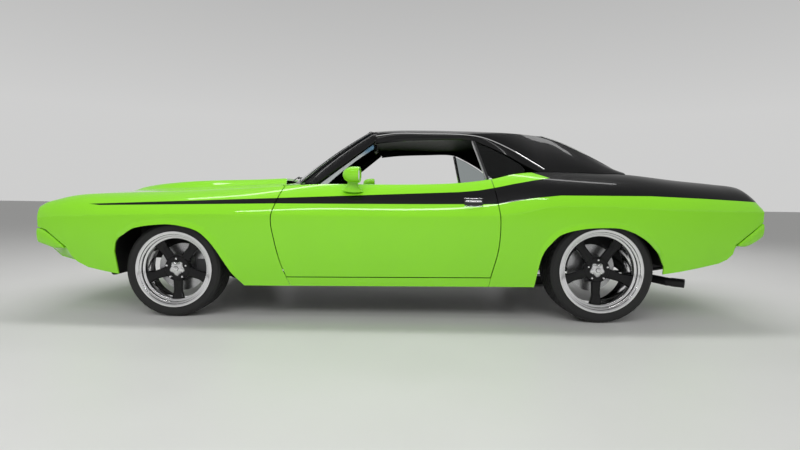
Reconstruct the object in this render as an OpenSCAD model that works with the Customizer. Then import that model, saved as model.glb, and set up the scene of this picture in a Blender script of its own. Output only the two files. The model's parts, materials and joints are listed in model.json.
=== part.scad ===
// Two-door hardtop car: a hollow body of separate panels with opening doors, hood and deck lid,
// steered front wheels and a solid rear axle on leaf springs.
// X runs rearward, Y to the car's right and Z up, with the ground at zero. Sizes are in millimetres.

/* [Body] */
// Distance between the axles
wheelbase = 2794; // [2600:1:3000]
// Nose to front axle
front_overhang = 960; // [860:1:1060]
// Rear axle to tail
rear_overhang = 1106; // [1000:1:1210]
// Width over the door creases
body_width = 1932; // [1740:1:2120]
// Height of the roof
body_height = 1312; // [1200:1:1440]
// Thickness of fender, quarter and lid skins
skin = 12; // [8:1:16]
// Thickness of the roof with its lining
roof_t = 24; // [16:1:36]
// Thickness of a door at its middle
door_t = 95; // [70:1:120]
// Thickness of the window glass
glass_t = 6; // [4:1:8]
// Gap round the doors, hood and deck lid
panel_gap = 6; // [5:0.5:9]
// Seam between pieces that are bolted or welded together
seam = 0.3; // [0.2:0.05:0.5]

/* [Wheels] */
// Outer radius of the front tyres
front_tyre_r = 312; // [296:1:326]
// Outer radius of the rear tyres
rear_tyre_r = 341; // [325:1:356]
// Lip radius of the front rims
front_rim_r = 248; // [232:1:258]
// Lip radius of the rear rims
rear_rim_r = 274; // [258:1:284]
// Width of the front tyres
front_tyre_w = 226; // [195:1:245]
// Width of the rear tyres
rear_tyre_w = 272; // [225:1:285]
// Between the middles of the front tyres
front_track = 1522; // [1480:1:1560]
// Between the middles of the rear tyres
rear_track = 1516; // [1480:1:1560]
// Spokes in each wheel
spokes = 5; // [5:1:8]

/* [Chassis] */
// Spindle radius of the front hubs
spindle_r = 18; // [14:1:24]
// Spindle radius of the rear hubs
rear_spindle_r = 22; // [18:1:28]
// Running clearance of shafts and pins
running = 0.06; // [0.04:0.01:0.1]
// Radius of the door, hood and deck lid hinge pins
pin_r = 8; // [6:0.5:10]
// Radius of the exhaust pipes
pipe_r = 28; // [20:1:36]
// Radius of the brake discs
disc_r = 160; // [130:1:170]
// Radius of the steering wheel
steering_r = 180; // [160:1:200]

/* [Hidden] */
$fn = 64;

// Paint and material colours
lime = [0.45, 0.75, 0.1];
black = [0.05, 0.05, 0.05];
rubber = [0.08, 0.08, 0.08];
steel = [0.6, 0.6, 0.62];
chrome = [0.85, 0.85, 0.87];
glass = [0.3, 0.36, 0.4, 0.5];
red = [0.6, 0.05, 0.05];
trim = [0.1, 0.1, 0.11];

// The drawn car: tables below are measured from its front axle, its middle line and the ground
drawn_base = 2794;
drawn_front = 960;
drawn_rear = 1106;
drawn_width = 1932;
drawn_height = 1312;
mid_x = (wheelbase + rear_overhang - front_overhang) / 2;

// Drawn place to real place along each axis
function fx(x) = (x < 0 ? x * front_overhang / drawn_front
    : x < drawn_base ? x * wheelbase / drawn_base
    : wheelbase + (x - drawn_base) * rear_overhang / drawn_rear) - mid_x;
function fy(y) = y * body_width / drawn_width;
function fz(z) = z * body_height / drawn_height;
function place(p) = [fx(p[0]), fy(p[1]), fz(p[2])];

front_x = fx(0);
rear_x = fx(drawn_base);

// Smooth curve through the rows of a table: the first column is the place, c the value's column
function blend(a, b, t) = a + (b - a) * t;
function clamp(t, low = 0, high = 1) = min(high, max(low, t));
function ease(t) = let (u = clamp(t)) u * u * (3 - 2 * u);
function find_row(t, x, i = 0) = i >= len(t) - 2 || x < t[i + 1][0] ? i : find_row(t, x, i + 1);
function grade(t, i, c) =
    let (a = max(i - 1, 0), b = min(i + 1, len(t) - 1))
    (t[b][c] - t[a][c]) / (t[b][0] - t[a][0]);
function curve(t, x, c = 1) =
    let (i = find_row(t, x), h = t[i + 1][0] - t[i][0], u = clamp((x - t[i][0]) / h))
    let (m = grade(t, i, c) * h, n = grade(t, i + 1, c) * h, v = u * u, w = v * u)
    (2 * w - 3 * v + 1) * t[i][c] + (w - 2 * v + u) * m + (3 * v - 2 * w) * t[i + 1][c] + (w - v) * n;

// Body side: x, crease y, crease z, tuck-under at the sill, shoulder y, shoulder z, fullness above the crease
side = [
    [-899, 850, 638, 70, 806, 712, 0.45],
    [-860, 861, 641, 68, 792, 738, 0.45],
    [-807, 872, 646, 66, 780, 757, 0.45],
    [-725, 885, 651, 62, 768, 781, 0.45],
    [-615, 899, 656, 58, 758, 797, 0.45],
    [-440, 918, 664, 52, 750, 806, 0.42],
    [0, 943, 674, 48, 750, 826, 0.40],
    [400, 955, 679, 50, 765, 849, 0.36],
    [680, 960, 681, 52, 786, 868, 0.30],
    [958, 963, 682, 55, 800, 884, 0.25],
    [1500, 966, 683, 58, 812, 889, 0.22],
    [1844, 966, 688, 58, 812, 903, 0.22],
    [2084, 966, 697, 56, 800, 934, 0.25],
    [2242, 965, 716, 54, 778, 971, 0.32],
    [2422, 964, 754, 52, 748, 988, 0.42],
    [2794, 961, 761, 50, 700, 988, 0.50],
    [3033, 953, 753, 52, 676, 982, 0.52],
    [3369, 929, 748, 58, 664, 947, 0.52],
    [3630, 893, 744, 66, 660, 924, 0.50],
    [3785, 864, 741, 74, 660, 904, 0.48],
    [3836, 852, 740, 78, 664, 866, 0.48],
    [3867, 843, 739, 82, 670, 815, 0.48]];
nose_x = side[0][0];
tail_x = side[len(side) - 1][0];
sill_z = 225;

// Lower edges: place along the car, height
front_foot = [[-899, 578], [-838, 562], [-700, 452], [-670, 395], [-628, 354], [-558, 320], [-461, 300], [-352, 281]];
front_arch = [[-350, 430], [-330, 498], [-282, 549], [-215, 586], [-30, 611], [80, 603], [189, 571], [250, 520],
    [297, 462], [381, 329], [452, 221]];
rear_arch = [[2351, 246], [2385, 435], [2444, 529], [2506, 583], [2633, 617], [2763, 628], [2893, 621],
    [3027, 564], [3127, 473], [3184, 381]];
rear_foot = [[3188, 330], [3310, 349], [3444, 376], [3564, 402], [3636, 438], [3672, 524], [3867, 674]];
sill_edge = [[452, 220], [2351, 236]];

// Door edges: height, place along the car
front_edge = [[215, 780], [300, 740], [386, 708], [518, 675], [655, 654], [790, 684], [875, 712]];
rear_edge = [[230, 2052], [311, 2069], [479, 2108], [646, 2116], [776, 2102], [868, 2089], [940, 2076]];
door_foot = [[740, 284], [2060, 297]];

// Inward flange at the shoulder: x, length
flange = [[-899, 60], [560, 70], [690, 30], [2400, 30], [2440, 14], [3000, 14], [3060, 70], [3867, 70]];

// Hood: x, crown over the edge, height of the raised middle, half width of the raised middle
hood_rise = [[-899, 10, 0, 190], [-640, 24, 0, 210], [-515, 30, 27, 240], [-327, 36, 43, 290], [-27, 38, 54, 330],
    [460, 40, 43, 370], [680, 40, 40, 380]];
bulge_slope = 90;

// Roof: x, edge y, edge z, middle z
roof_line = [[1222, 540, 1262, 1286], [1441, 592, 1257, 1307], [1650, 597, 1255, 1312], [1872, 597, 1254, 1311],
    [2040, 585, 1262, 1306], [2240, 555, 1268, 1297], [2480, 505, 1256, 1274]];
// Lower edge of the roof rail and rear pillar: x, y, z
rail_low = [[1300, 603, 1182], [1441, 601, 1194], [1700, 600, 1206], [1965, 602, 1208], [2083, 630, 1165],
    [2210, 673, 1102], [2305, 713, 1042], [2400, 751, 990]];
// Edge of the rear window: x, y, z
back_edge = [[2480, 505, 1256], [2613, 521, 1211], [2819, 548, 1111], [3018, 566, 1001]];
back_crown = 26;
roof_rear = 2480;
back_end = 3018;
rail_start = 1300;

// Windshield: middle and corner of the base, middle and corner of the top edge
base_mid_x = 655;
base_corner = [783, 640];
top_mid_x = 1216;
top_corner = [1276, 545];

// Bow of the nose and tail in plan
nose_bow = 61;
tail_bow = 33;
bow_reach = 180;
function bow(x, y) =
    let (v = clamp(abs(y) / 850), b = 1 - v * v)
    tail_bow * b * ease((x - tail_x + bow_reach) / bow_reach)
    - nose_bow * b * ease((nose_x + bow_reach - x) / bow_reach);

// Body side at x: outboard y below the crease, and points above it
function crease(x) = [curve(side, x, 1), curve(side, x, 2)];
function shoulder(x) = [curve(side, x, 4), curve(side, x, 5)];
function lower_y(x, z) =
    let (c = crease(x), s = clamp((z - sill_z) / (c[1] - sill_z)))
    c[0] - curve(side, x, 3) * (0.65 * pow(1 - s, 2.2) + 0.35 * (1 - s));
function upper_pt(x, s) =
    let (c = crease(x), e = shoulder(x), k = blend((c + e) / 2, [c[0], e[1]], curve(side, x, 6)))
    (1 - s) * (1 - s) * c + 2 * s * (1 - s) * k + s * s * e;
function upper_tilt(x, s) =
    let (a = upper_pt(x, max(s - 0.05, 0)), b = upper_pt(x, min(s + 0.05, 1)))
    atan2(a[0] - b[0], b[1] - a[1]);

// Row t of the side: 0 lower edge, 1 crease, 2 shoulder, 3 inner edge of the flange
function side_pt(x, foot, t) =
    t <= 1 ? let (z = blend(foot, crease(x)[1], t)) [lower_y(x, z), z]
    : t <= 2 ? upper_pt(x, t - 1)
    : shoulder(x) + [-(t - 2) * curve(flange, x), 2 * (t - 2)];
function side_tilt(x, t) =
    t < 1 ? 0 : t == 1 ? upper_tilt(x, 0) / 2 : t < 2 ? upper_tilt(x, t - 1)
    : t == 2 ? (upper_tilt(x, 1) + 90) / 2 : 90;
function inward(x, t, depth) = let (a = side_tilt(x, t)) -depth * [cos(a), sin(a)];

// Point of a side panel, set in by a depth along the normal
function side_at(x, foot, t, depth) =
    let (p = side_pt(x, foot, t) + inward(x, t, depth))
    place([x + bow(x, p[0]), p[0], p[1]]);

// Panel surface heights
function inner_y(x) = shoulder(x)[0] - curve(flange, x);
function deck_z(x, y, crown) =
    let (v = clamp(abs(y) / inner_y(x)))
    shoulder(x)[1] + 2 + crown * (1 - v * v);
function bulge(x, y) =
    curve(hood_rise, x, 2) * ease((curve(hood_rise, x, 3) + bulge_slope / 2 - abs(y)) / bulge_slope);
function cowl_z(x, y) = deck_z(x, y, curve(hood_rise, x, 1));
function hood_z(x, y) = cowl_z(x, y) + bulge(x, y);
trunk_crown = 16;

// Closed solid between an outer and an inner grid of points
module grid_solid(outer, inner) {
    n = len(outer);
    m = len(outer[0]);
    q = n * m;
    rim = concat([for (i = [0:n - 2]) i * m], [for (j = [0:m - 2]) (n - 1) * m + j],
        [for (i = [n - 1:-1:1]) i * m + m - 1], [for (j = [m - 1:-1:1]) j]);
    cells = [for (i = [0:n - 2], j = [0:m - 2]) [i * m + j, (i + 1) * m + j, (i + 1) * m + j + 1, i * m + j + 1]];
    faces = concat([for (c = cells) each [[c[0], c[1], c[2]], [c[0], c[2], c[3]]]],
        [for (c = cells) each [[q + c[0], q + c[2], q + c[1]], [q + c[0], q + c[3], q + c[2]]]],
        [for (k = [0:len(rim) - 1])
            let (a = rim[k], b = rim[(k + 1) % len(rim)])
            each [[b, a, a + q], [b, a + q, b + q]]]);
    polyhedron([for (row = outer) each row, for (row = inner) each row], faces);
}

// Closed solid through rings of points
module ring_solid(rings) {
    k = len(rings[0]);
    last = len(rings) - 1;
    walls = [for (r = [0:last - 1], i = [0:k - 1])
        let (a = r * k + i, b = r * k + (i + 1) % k)
        each [[a, b, b + k], [a, b + k, a + k]]];
    ends = [for (i = [1:k - 2]) each [[0, i + 1, i], [last * k, last * k + i, last * k + i + 1]]];
    polyhedron([for (ring = rings) each ring], concat(walls, ends));
}

// Block, prism and rod given by drawn places
module block(x, y, z) {
    a = place([x[0], y[0], z[0]]);
    translate(a) cube(place([x[1], y[1], z[1]]) - a);
}
module prism(points, y) {
    translate([0, fy(y[1]), 0])
        rotate([90, 0, 0])
            linear_extrude(height = fy(y[1]) - fy(y[0]))
                polygon([for (p = points) [fx(p[0]), fz(p[1])]]);
}
module rod(a, b, r) {
    d = b - a;
    translate(a)
        rotate([0, acos(d[2] / norm(d)), atan2(d[1], d[0])])
            cylinder(h = norm(d), r = r);
}
module pipe(points, r) {
    for (i = [0:len(points) - 2])
        rod(points[i], points[i + 1], r);
    for (i = [1:len(points) - 2]) {
        a = points[i] - points[i - 1];
        b = points[i + 1] - points[i];
        turn = a / norm(a) - b / norm(b);
        translate(points[i])
            rotate([0, 0, atan2(turn[1], turn[0])])
                sphere(r = r + 1.2);
    }
}
module both() {
    children();
    mirror([0, 1, 0]) children();
}
module across(at, y0, y1, r) {
    translate([at[0], y0, at[1]])
        rotate([-90, 0, 0])
            cylinder(h = y1 - y0, r = r);
}

// Rows from the lower edge to the crease, the shoulder and the flange
side_rows = [0, 0.25, 0.5, 0.75, 0.93, 1, 1.12, 1.35, 1.6, 1.82, 2, 3];

// Front fender, right side; thin along the door edge
fender_x = [-899, -860, -807, -740, -700, -670, -628, -558, -461, -352, -350, -330, -305, -260, -200, -110, -30, 60, 140, 210,
    262, 310, 370, 430, 500, 570, 620, 655];
fender_tip_t = 4;
function fender_foot(x) = x <= -351 ? lookup(x, front_foot) : x < 452 ? curve(front_arch, x) : lookup(x, sill_edge);
function fender_edge_x(t) = curve(front_edge, side_pt(660, 221, t)[1]) - panel_gap / 2;
function fender_at(x, t, in) =
    let (w = ease((x - 380) / 275), xe = x + (fender_edge_x(t) - 655) * w)
    let (d = blend(skin, fender_tip_t, ease((x - 600) / 40)))
    side_at(xe, fender_foot(x), t, in * d);
module fender() {
    grid_solid([for (x = fender_x) [for (t = side_rows) fender_at(x, t, 0)]],
        [for (x = fender_x) [for (t = side_rows) fender_at(x, t, 1)]]);
}
module right_fender() color(lime) fender();
module left_fender() color(lime) mirror([0, 1, 0]) fender();

// Door, right side: outer skin on the body side, inner face set in; ears carry the hinge pins' sleeves
door_u = [0, 0.03, 0.08, 0.13, 0.19, 0.35, 0.5, 0.65, 0.8, 0.95, 1];
door_rows = [0, 0.12, 0.45, 0.75, 0.94, 1, 1.15, 1.4, 1.65, 1.88, 2, 2.8];
door_edge_in = 22;
door_tip_t = 44;
hinge_x = 790;
hinge_y = 866;
hinge_z = [[420, 490], [625, 690]];
ear_r = 16;
function door_bottom(x) = lookup(x, door_foot);
function door_x(u, t) =
    let (f = curve(front_edge, side_pt(700, 284, t)[1]) + panel_gap / 2)
    let (r = curve(rear_edge, side_pt(2090, 297, t)[1]) - panel_gap / 2)
    blend(f, r, u);
function door_depth(u, t) =
    let (front = blend(door_tip_t, door_t, ease((u - 0.13) / 0.06)), top = ease((t - 1.2) / 0.7))
    blend(front, min(front, blend(26, 60, ease((u - 0.1) / 0.1))), top);
function door_out(u, t) = let (x = door_x(u, t)) side_at(x, door_bottom(x), t, 0);
function door_in(u, t) =
    let (x = door_x(u, t), y = door_depth(u, t), p = side_pt(x, door_bottom(x), t))
    let (lift = t < 0.5 ? door_edge_in * (1 - 2 * t) : t > 1.9 ? -16 : 0, s = blend(6, -door_edge_in, u))
    place([x + s * (u == 0 || u == 1 ? 1 : 0), p[0] - y, p[1] + lift]);
function hinge_place() = [fx(hinge_x), fy(hinge_y)];
module door() {
    difference() {
        union() {
            grid_solid([for (u = door_u) [for (t = door_rows) door_out(u, t)]],
                [for (u = door_u) [for (t = door_rows) door_in(u, t)]]);
            for (z = hinge_z) {
                translate([hinge_place()[0], hinge_place()[1], fz(z[0])])
                    cylinder(h = fz(z[1]) - fz(z[0]), r = ear_r);
                block([hinge_x - 9, hinge_x + 9], [hinge_y, hinge_y + 58], z);
            }
        }
        for (z = hinge_z)
            translate([hinge_place()[0], hinge_place()[1], fz(z[0]) - 1])
                cylinder(h = fz(z[1]) - fz(z[0]) + 2, r = pin_r + running);
    }
    mirror_head();
    door_handle();
}
mirror_x = 1168;
module mirror_head() {
    foot = place([mirror_x, 850, 828]);
    head = place([mirror_x + 4, 918, 944]);
    rod(foot, head, 13);
    translate(head)
        rotate([0, -90, 8])
            rotate_extrude()
                polygon([[0, -46], [40, -46], [52, -40], [52, 0], [44, 50], [24, 84], [0, 92]]);
}
module door_handle() {
    p = place([1940, lower_y(1940, 700) - 42, 778]);
    translate(p - [75, 22, 17]) cube([150, 30, 34]);
}
module right_door() color(lime) door();
module left_door() color(lime) mirror([0, 1, 0]) door();

// Rocker below the door, right side
rocker_x = [700, 780, 900, 1300, 1700, 2000, 2060];
rocker_t = 78;
rocker_rows = [0, 0.35, 0.7, 1];
function rocker_at(x, t, in) =
    let (z0 = lookup(x, sill_edge), z1 = door_bottom(x) - panel_gap, z = blend(z0, z1, t))
    let (f = curve(front_edge, z) - panel_gap / 2 + 2.5, r = curve(rear_edge, z) + panel_gap / 2 - 2)
    let (u = (x - rocker_x[0]) / (rocker_x[len(rocker_x) - 1] - rocker_x[0]), xe = blend(f, r, u))
    place([xe, lower_y(xe, z) - in * rocker_t, z]);
module rocker() {
    grid_solid([for (x = rocker_x) [for (t = rocker_rows) rocker_at(x, t, 0)]],
        [for (x = rocker_x) [for (t = rocker_rows) rocker_at(x, t, 1)]]);
}
module right_rocker() color(lime) rocker();
module left_rocker() color(lime) mirror([0, 1, 0]) rocker();

// Quarter panel and the roof rail with the rear pillar, right side
quarter_x = [2116, 2150, 2200, 2270, 2351, 2365, 2385, 2412, 2444, 2506, 2570, 2633, 2700, 2763, 2830, 2893, 2960, 3020,
    3058, 3127, 3160, 3184, 3188, 3310, 3444, 3564, 3636, 3672, 3740, 3785, 3836, 3867];
jamb_t = 78;
function quarter_foot(x) =
    x < 2351 ? lookup(x, sill_edge) : x <= 3184 ? curve(rear_arch, x) : lookup(x, rear_foot);
function quarter_at(x, t, in) =
    let (w = 1 - ease((x - 2116) / 200), e = curve(rear_edge, side_pt(2116, 236, t)[1]) + panel_gap / 2)
    let (xe = x + (e - 2116) * w, d = blend(jamb_t, skin, ease((x - 2200) / 110)))
    side_at(xe, quarter_foot(x), t, in * (t > 1 ? blend(d, skin, ease(t - 1)) : d));
rail_x = [1300, 1372, 1517, 1697, 1878, 1965, 2059, 2149, 2239, 2312, 2384, 2480, 2546, 2613, 2720, 2819, 2920, 3018];
rail_rows = [0, 0.2, 0.45, 0.7, 0.88, 1];
rail_t = 20;
rail_puff = 9;
function rail_top(x) =
    x <= roof_rear ? [curve(roof_line, x, 1), curve(roof_line, x, 2)] : [curve(back_edge, x, 1), curve(back_edge, x, 2)];
function rail_bottom(x) =
    x <= 2400 ? [curve(rail_low, x, 1), curve(rail_low, x, 2)] : shoulder(x) + [-1, 2 + seam];
function rail_at(x, v, in) =
    let (a = rail_bottom(x), b = rail_top(x) + [seam * 2, -seam], d = (b - a) / norm(b - a), n = [d[1], -d[0]])
    let (puff = rail_puff * 4 * v * (1 - v), p = blend(a, b, v) + n * puff)
    let (s = in * blend(14, rail_t, clamp(4 * v)), y = p[0] - s * (v == 1 ? 0 : v == 0 ? 1 : n[0]))
    let (z = p[1] - s * (v == 1 ? 0.25 : v == 0 ? 0 : n[1]), edge = b[0])
    place([x, p[1] > b[1] - roof_t - 18 ? max(y, edge) : y, z]);
module quarter() {
    grid_solid([for (x = quarter_x) [for (t = side_rows) quarter_at(x, t, 0)]],
        [for (x = quarter_x) [for (t = side_rows) quarter_at(x, t, 1)]]);
    grid_solid([for (x = rail_x) [for (v = rail_rows) rail_at(x, v, 0)]],
        [for (x = rail_x) [for (v = rail_rows) rail_at(x, v, 1)]]);
}
module right_quarter() color(lime) quarter();
module left_quarter() color(lime) mirror([0, 1, 0]) quarter();

// Roof between the rails
roof_v = [0, 0.08, 0.2, 0.35, 0.5, 0.65, 0.8, 0.92, 1];
roof_u = [1, 0.96, 0.9, 0.8, 0.6, 0.3, 0, -0.3, -0.6, -0.8, -0.9, -0.96, -1];
function roof_x(u, v) = blend(top_mid_x + (top_corner[0] - top_mid_x) * u * u, roof_rear, v);
function roof_at(u, v, in) =
    let (x = roof_x(u, v), e = curve(roof_line, x, 1), a = curve(roof_line, x, 2), b = curve(roof_line, x, 3))
    place([x, e * u, b - (b - a) * pow(abs(u), 4) - in * roof_t]);
module roof() {
    color(black)
        grid_solid([for (v = roof_v) [for (u = roof_u) roof_at(u, v, 0)]],
            [for (v = roof_v) [for (u = roof_u) roof_at(u, v, 1)]]);
}

// Windshield: grid from the base to the top edge, with a bowed face
screen_u = [1, 0.85, 0.65, 0.4, 0.15, -0.15, -0.4, -0.65, -0.85, -1];
screen_v = [0, 0.2, 0.4, 0.6, 0.8, 1];
screen_bow = 16;
function base_x(y) = let (v = y / base_corner[1]) base_mid_x + (base_corner[0] - base_mid_x) * v * v;
function screen_at(u, v, in) =
    let (y0 = base_corner[1] * u, x0 = base_x(y0), z0 = cowl_z(x0, y0) + seam + 0.8)
    let (y1 = top_corner[1] * u, x1 = top_mid_x + (top_corner[0] - top_mid_x) * u * u - glass_t - 3)
    let (z1 = 1284 - 24 * pow(abs(u), 4), lift = screen_bow * 4 * v * (1 - v))
    place([blend(x0, x1, v) - lift * 0.6 + in * glass_t, blend(y0, y1, v), blend(z0, z1, v) + lift * 0.8]);
module windshield() {
    color(glass)
        grid_solid([for (v = screen_v) [for (u = screen_u) screen_at(u, v, 0)]],
            [for (v = screen_v) [for (u = screen_u) screen_at(u, v, 1)]]);
}

// Rear window between the rear pillars
function back_at(u, v, in) =
    let (x = blend(roof_rear + 2, back_end, v), e = curve(back_edge, x, 1) + seam, z = curve(back_edge, x, 2))
    place([x, e * u, z + back_crown * blend(0.7, 0.6, v) * (1 - u * u) - in * glass_t - 1]);
module rear_window() {
    color(glass)
        grid_solid([for (v = screen_v) [for (u = screen_u) back_at(u, v, 0)]],
            [for (v = screen_v) [for (u = screen_u) back_at(u, v, 1)]]);
}

// Fixed quarter window in the plane between belt and rail
glass_low = [774, 930];
glass_high = [612, 1200];
glass_tilt = atan2(fy(glass_low[0]) - fy(glass_high[0]), fz(glass_high[1]) - fz(glass_low[1]));
function glass_pt(x, z) = [fx(x) - fx(2046), (fz(z) - fz(glass_low[1])) / cos(glass_tilt)];
module quarter_glass() {
    sill = [for (x = [2050, 2100, 2146, 2196, 2250, 2300]) glass_pt(x, max(946, shoulder(x)[1] + 3.6 + seam))];
    head = [[2316, 1000], [2292, 1034], [2206, 1090], [2083, 1156], [1976, 1198]];
    color(glass)
        both()
            translate(place([2046, glass_low[0], glass_low[1]]))
                rotate([90 + glass_tilt, 0, 0])
                    linear_extrude(height = glass_t)
                        polygon(concat(sill, [for (p = head) glass_pt(p[0], p[1])]));
}

// Hood: raised middle, carried on two curved hinge arms
hood_v = [0, 0.08, 0.18, 0.28, 0.4, 0.55, 0.7, 0.85, 1];
hood_u = [1, 0.85, 0.68, 0.6, 0.54, 0.48, 0.42, 0.2, 0, -0.2, -0.42, -0.48, -0.54, -0.6, -0.68, -0.85, -1];
hood_front_x = -800;
hood_rear_x = 610;
hood_rear_bow = 65;
hood_t = 18;
lid_pivot_y = [592, 612];
hood_pivot = [735, 846];
hood_arm_r = [92, 112];
function hood_end(y) = let (v = y / 700) hood_rear_x + hood_rear_bow * v * v;
function hood_at(u, v, in) =
    let (xm = blend(hood_front_x, hood_rear_x, v), y = u * (inner_y(xm) - panel_gap))
    let (x = blend(hood_front_x, hood_end(y), v))
    place([x + bow(x, y), y, hood_z(min(x, 680), y) - in * hood_t]);
module hood_arm() {
    at = place([hood_pivot[0], lid_pivot_y[0], hood_pivot[1]]);
    wide = fy(lid_pivot_y[1]) - fy(lid_pivot_y[0]);
    translate(at)
        rotate([-90, 0, 0])
            difference() {
                union() {
                    rotate([0, 0, 106])
                        rotate_extrude(angle = 88)
                            translate([hood_arm_r[0], 0]) square([hood_arm_r[1] - hood_arm_r[0], wide]);
                    rotate([0, 0, 116]) translate([12, -10, 0]) cube([hood_arm_r[1] - 16, 20, wide]);
                    cylinder(h = wide, r = pin_r + 10);
                }
                translate([0, 0, -1]) cylinder(h = wide + 2, r = pin_r + running);
            }
}
module hood() {
    color(lime) {
        grid_solid([for (v = hood_v) [for (u = hood_u) hood_at(u, v, 0)]],
            [for (v = hood_v) [for (u = hood_u) hood_at(u, v, 1)]]);
        both() hood_arm();
    }
}

// Deck lid on two curved arms that swing round the rear edge of the shelf
lid_front_x = 3064;
lid_x = [3064, 3180, 3320, 3460, 3600, 3720, 3785, 3812, 3836, 3852, 3867];
lid_u = [1, 0.9, 0.7, 0.45, 0.2, 0, -0.2, -0.45, -0.7, -0.9, -1];
deck_pivot = [2930, 950];
deck_pivot_y = [434, 452];
deck_arm_r = [146, 168];
function lid_at(x, u, in) =
    let (y = u * (inner_y(x) - panel_gap), d = in * blend(6, hood_t, ease((x - lid_front_x) / 100)))
    place([x + bow(x, y) - d * ease((x - 3780) / 60) * 0.9, y, deck_z(x, y, trunk_crown) - d * (1 - 0.6 * ease((x - 3780) / 60))]);
module deck_arm() {
    at = place([deck_pivot[0], deck_pivot_y[0], deck_pivot[1]]);
    wide = fy(deck_pivot_y[1]) - fy(deck_pivot_y[0]);
    translate(at)
        rotate([-90, 0, 0])
            difference() {
                union() {
                    rotate([0, 0, -13])
                        rotate_extrude(angle = 93)
                            translate([deck_arm_r[0], 0]) square([deck_arm_r[1] - deck_arm_r[0], wide]);
                    rotate([0, 0, 74]) translate([12, -10, 0]) cube([deck_arm_r[1] - 16, 20, wide]);
                    cylinder(h = wide, r = pin_r + 10);
                }
                translate([0, 0, -1]) cylinder(h = wide + 2, r = pin_r + running);
            }
}
module deck_lid() {
    color(black) {
        grid_solid([for (x = lid_x) [for (u = lid_u) lid_at(x, u, 0)]],
            [for (x = lid_x) [for (u = lid_u) lid_at(x, u, 1)]]);
        both() deck_arm();
    }
}

// Panel behind the rear window with the parcel shelf and the lid's hinge pins
shelf_x = [3020, 3058];
function shelf_at(x, u, in) =
    let (y = u * (inner_y(x) - 1))
    place([x, y, deck_z(x, y, trunk_crown) - in * 10]);
module rear_shelf() {
    color(black) {
        grid_solid([for (x = shelf_x) [for (u = lid_u) shelf_at(x, u, 0)]],
            [for (x = shelf_x) [for (u = lid_u) shelf_at(x, u, 1)]]);
        block([2660, 2890], [-560, 560], [920, 930]);
        both() {
            block([2840, 3052], [520, 548], [925, 978]);
            across([fx(deck_pivot[0]), fz(deck_pivot[1])], fy(deck_pivot_y[0]) - 2, fy(530), pin_r);
        }
    }
}

// Nose panel between the fenders, ahead of the hood
nose_u = [1, 0.85, 0.6, 0.3, 0, -0.3, -0.6, -0.85, -1];
nose_step = [[-899, 34], [-899, 12], [-893, 0], [-872, 0], [-840, 0], [-806, 0]];
function nose_at(u, k, in) =
    let (x = nose_step[k][0], y = u * (inner_y(max(x, -890)) - 1.6), d = in * skin)
    place([x + bow(x, y) + (k < 2 ? d : k == 2 ? d * 0.7 : 0), y,
        hood_z(x, y) - nose_step[k][1] - (k < 2 ? 0 : k == 2 ? d * 0.7 : d)]);
module nose_panel() {
    color(lime)
        grid_solid([for (k = [0:len(nose_step) - 1]) [for (u = nose_u) nose_at(u, k, 0)]],
            [for (k = [0:len(nose_step) - 1]) [for (u = nose_u) nose_at(u, k, 1)]]);
}

// Bumpers: a blade that follows the body's plan and turns down along the body side
bumper_t = 42;
bumper_out = 9;
// Place along the blade: x at the side, plan share towards the middle, top z, bottom z
front_blade = [[-712, 850, 450, 442], [-740, 850, 474, 441], [-790, 850, 515, 443], [-850, 850, 556, 462],
    [-899, 850, 570, 476], [-899, 780, 570, 478], [-899, 600, 570, 480], [-899, 300, 570, 480], [-899, 0, 570, 480]];
rear_blade = [[3690, 850, 526, 518], [3712, 850, 544, 513], [3760, 850, 582, 518], [3820, 850, 628, 545],
    [3867, 850, 664, 576], [3867, 780, 666, 580], [3867, 600, 666, 580], [3867, 300, 666, 580], [3867, 0, 666, 580]];
blade_rows = [0, 0.12, 0.5, 0.88, 1];
function blade_pt(row, v, in, way) =
    let (z = blend(row[3], row[2], v), side_y = lower_y(row[0], z))
    let (corner = row[1] == 850 ? 1 : row[1] / 850, y = row[1] == 850 ? side_y : row[1] * side_y / 850)
    let (out = (v == 0 || v == 1 ? 0.2 : v == 0.5 ? 1 : 0.8) * bumper_out - in * bumper_t)
    let (turn = row[1] == 850 ? clamp((way * (row[0] - (way < 0 ? nose_x : tail_x)) + 60) / 60) : 1)
    let (a = turn * (row[1] == 850 ? 50 : 90))
    place([row[0] + bow(row[0], y) + way * out * sin(a), y + out * cos(a), z]);
function blade(table, in, way) =
    concat([for (row = table) [for (v = blade_rows) blade_pt(row, v, in, way)]],
        [for (k = [len(table) - 2:-1:0]) [for (v = blade_rows)
            let (p = blade_pt(table[k], v, in, way)) [p[0], -p[1], p[2]]]]);
module front_bumper() {
    color(lime) grid_solid(blade(front_blade, 0, -1), blade(front_blade, 1, -1));
}
module rear_bumper() {
    color(lime) grid_solid(blade(rear_blade, 0, 1), blade(rear_blade, 1, 1));
}

// Front valance under the bumper and rear valance under the tail panel
module front_valance() {
    color(lime)
        prism([[-890, 474], [-838, 474], [-838, 464], [-872, 464], [-776, 392], [-600, 340], [-604, 330], [-784, 380]],
            [-780, 780]);
}
module rear_valance() {
    color(lime)
        prism([[3838, 574], [3828, 574], [3810, 540], [3716, 498], [3634, 440], [3600, 424], [3600, 414], [3640, 430],
            [3724, 490], [3822, 534]], [-760, 760]);
}

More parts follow.
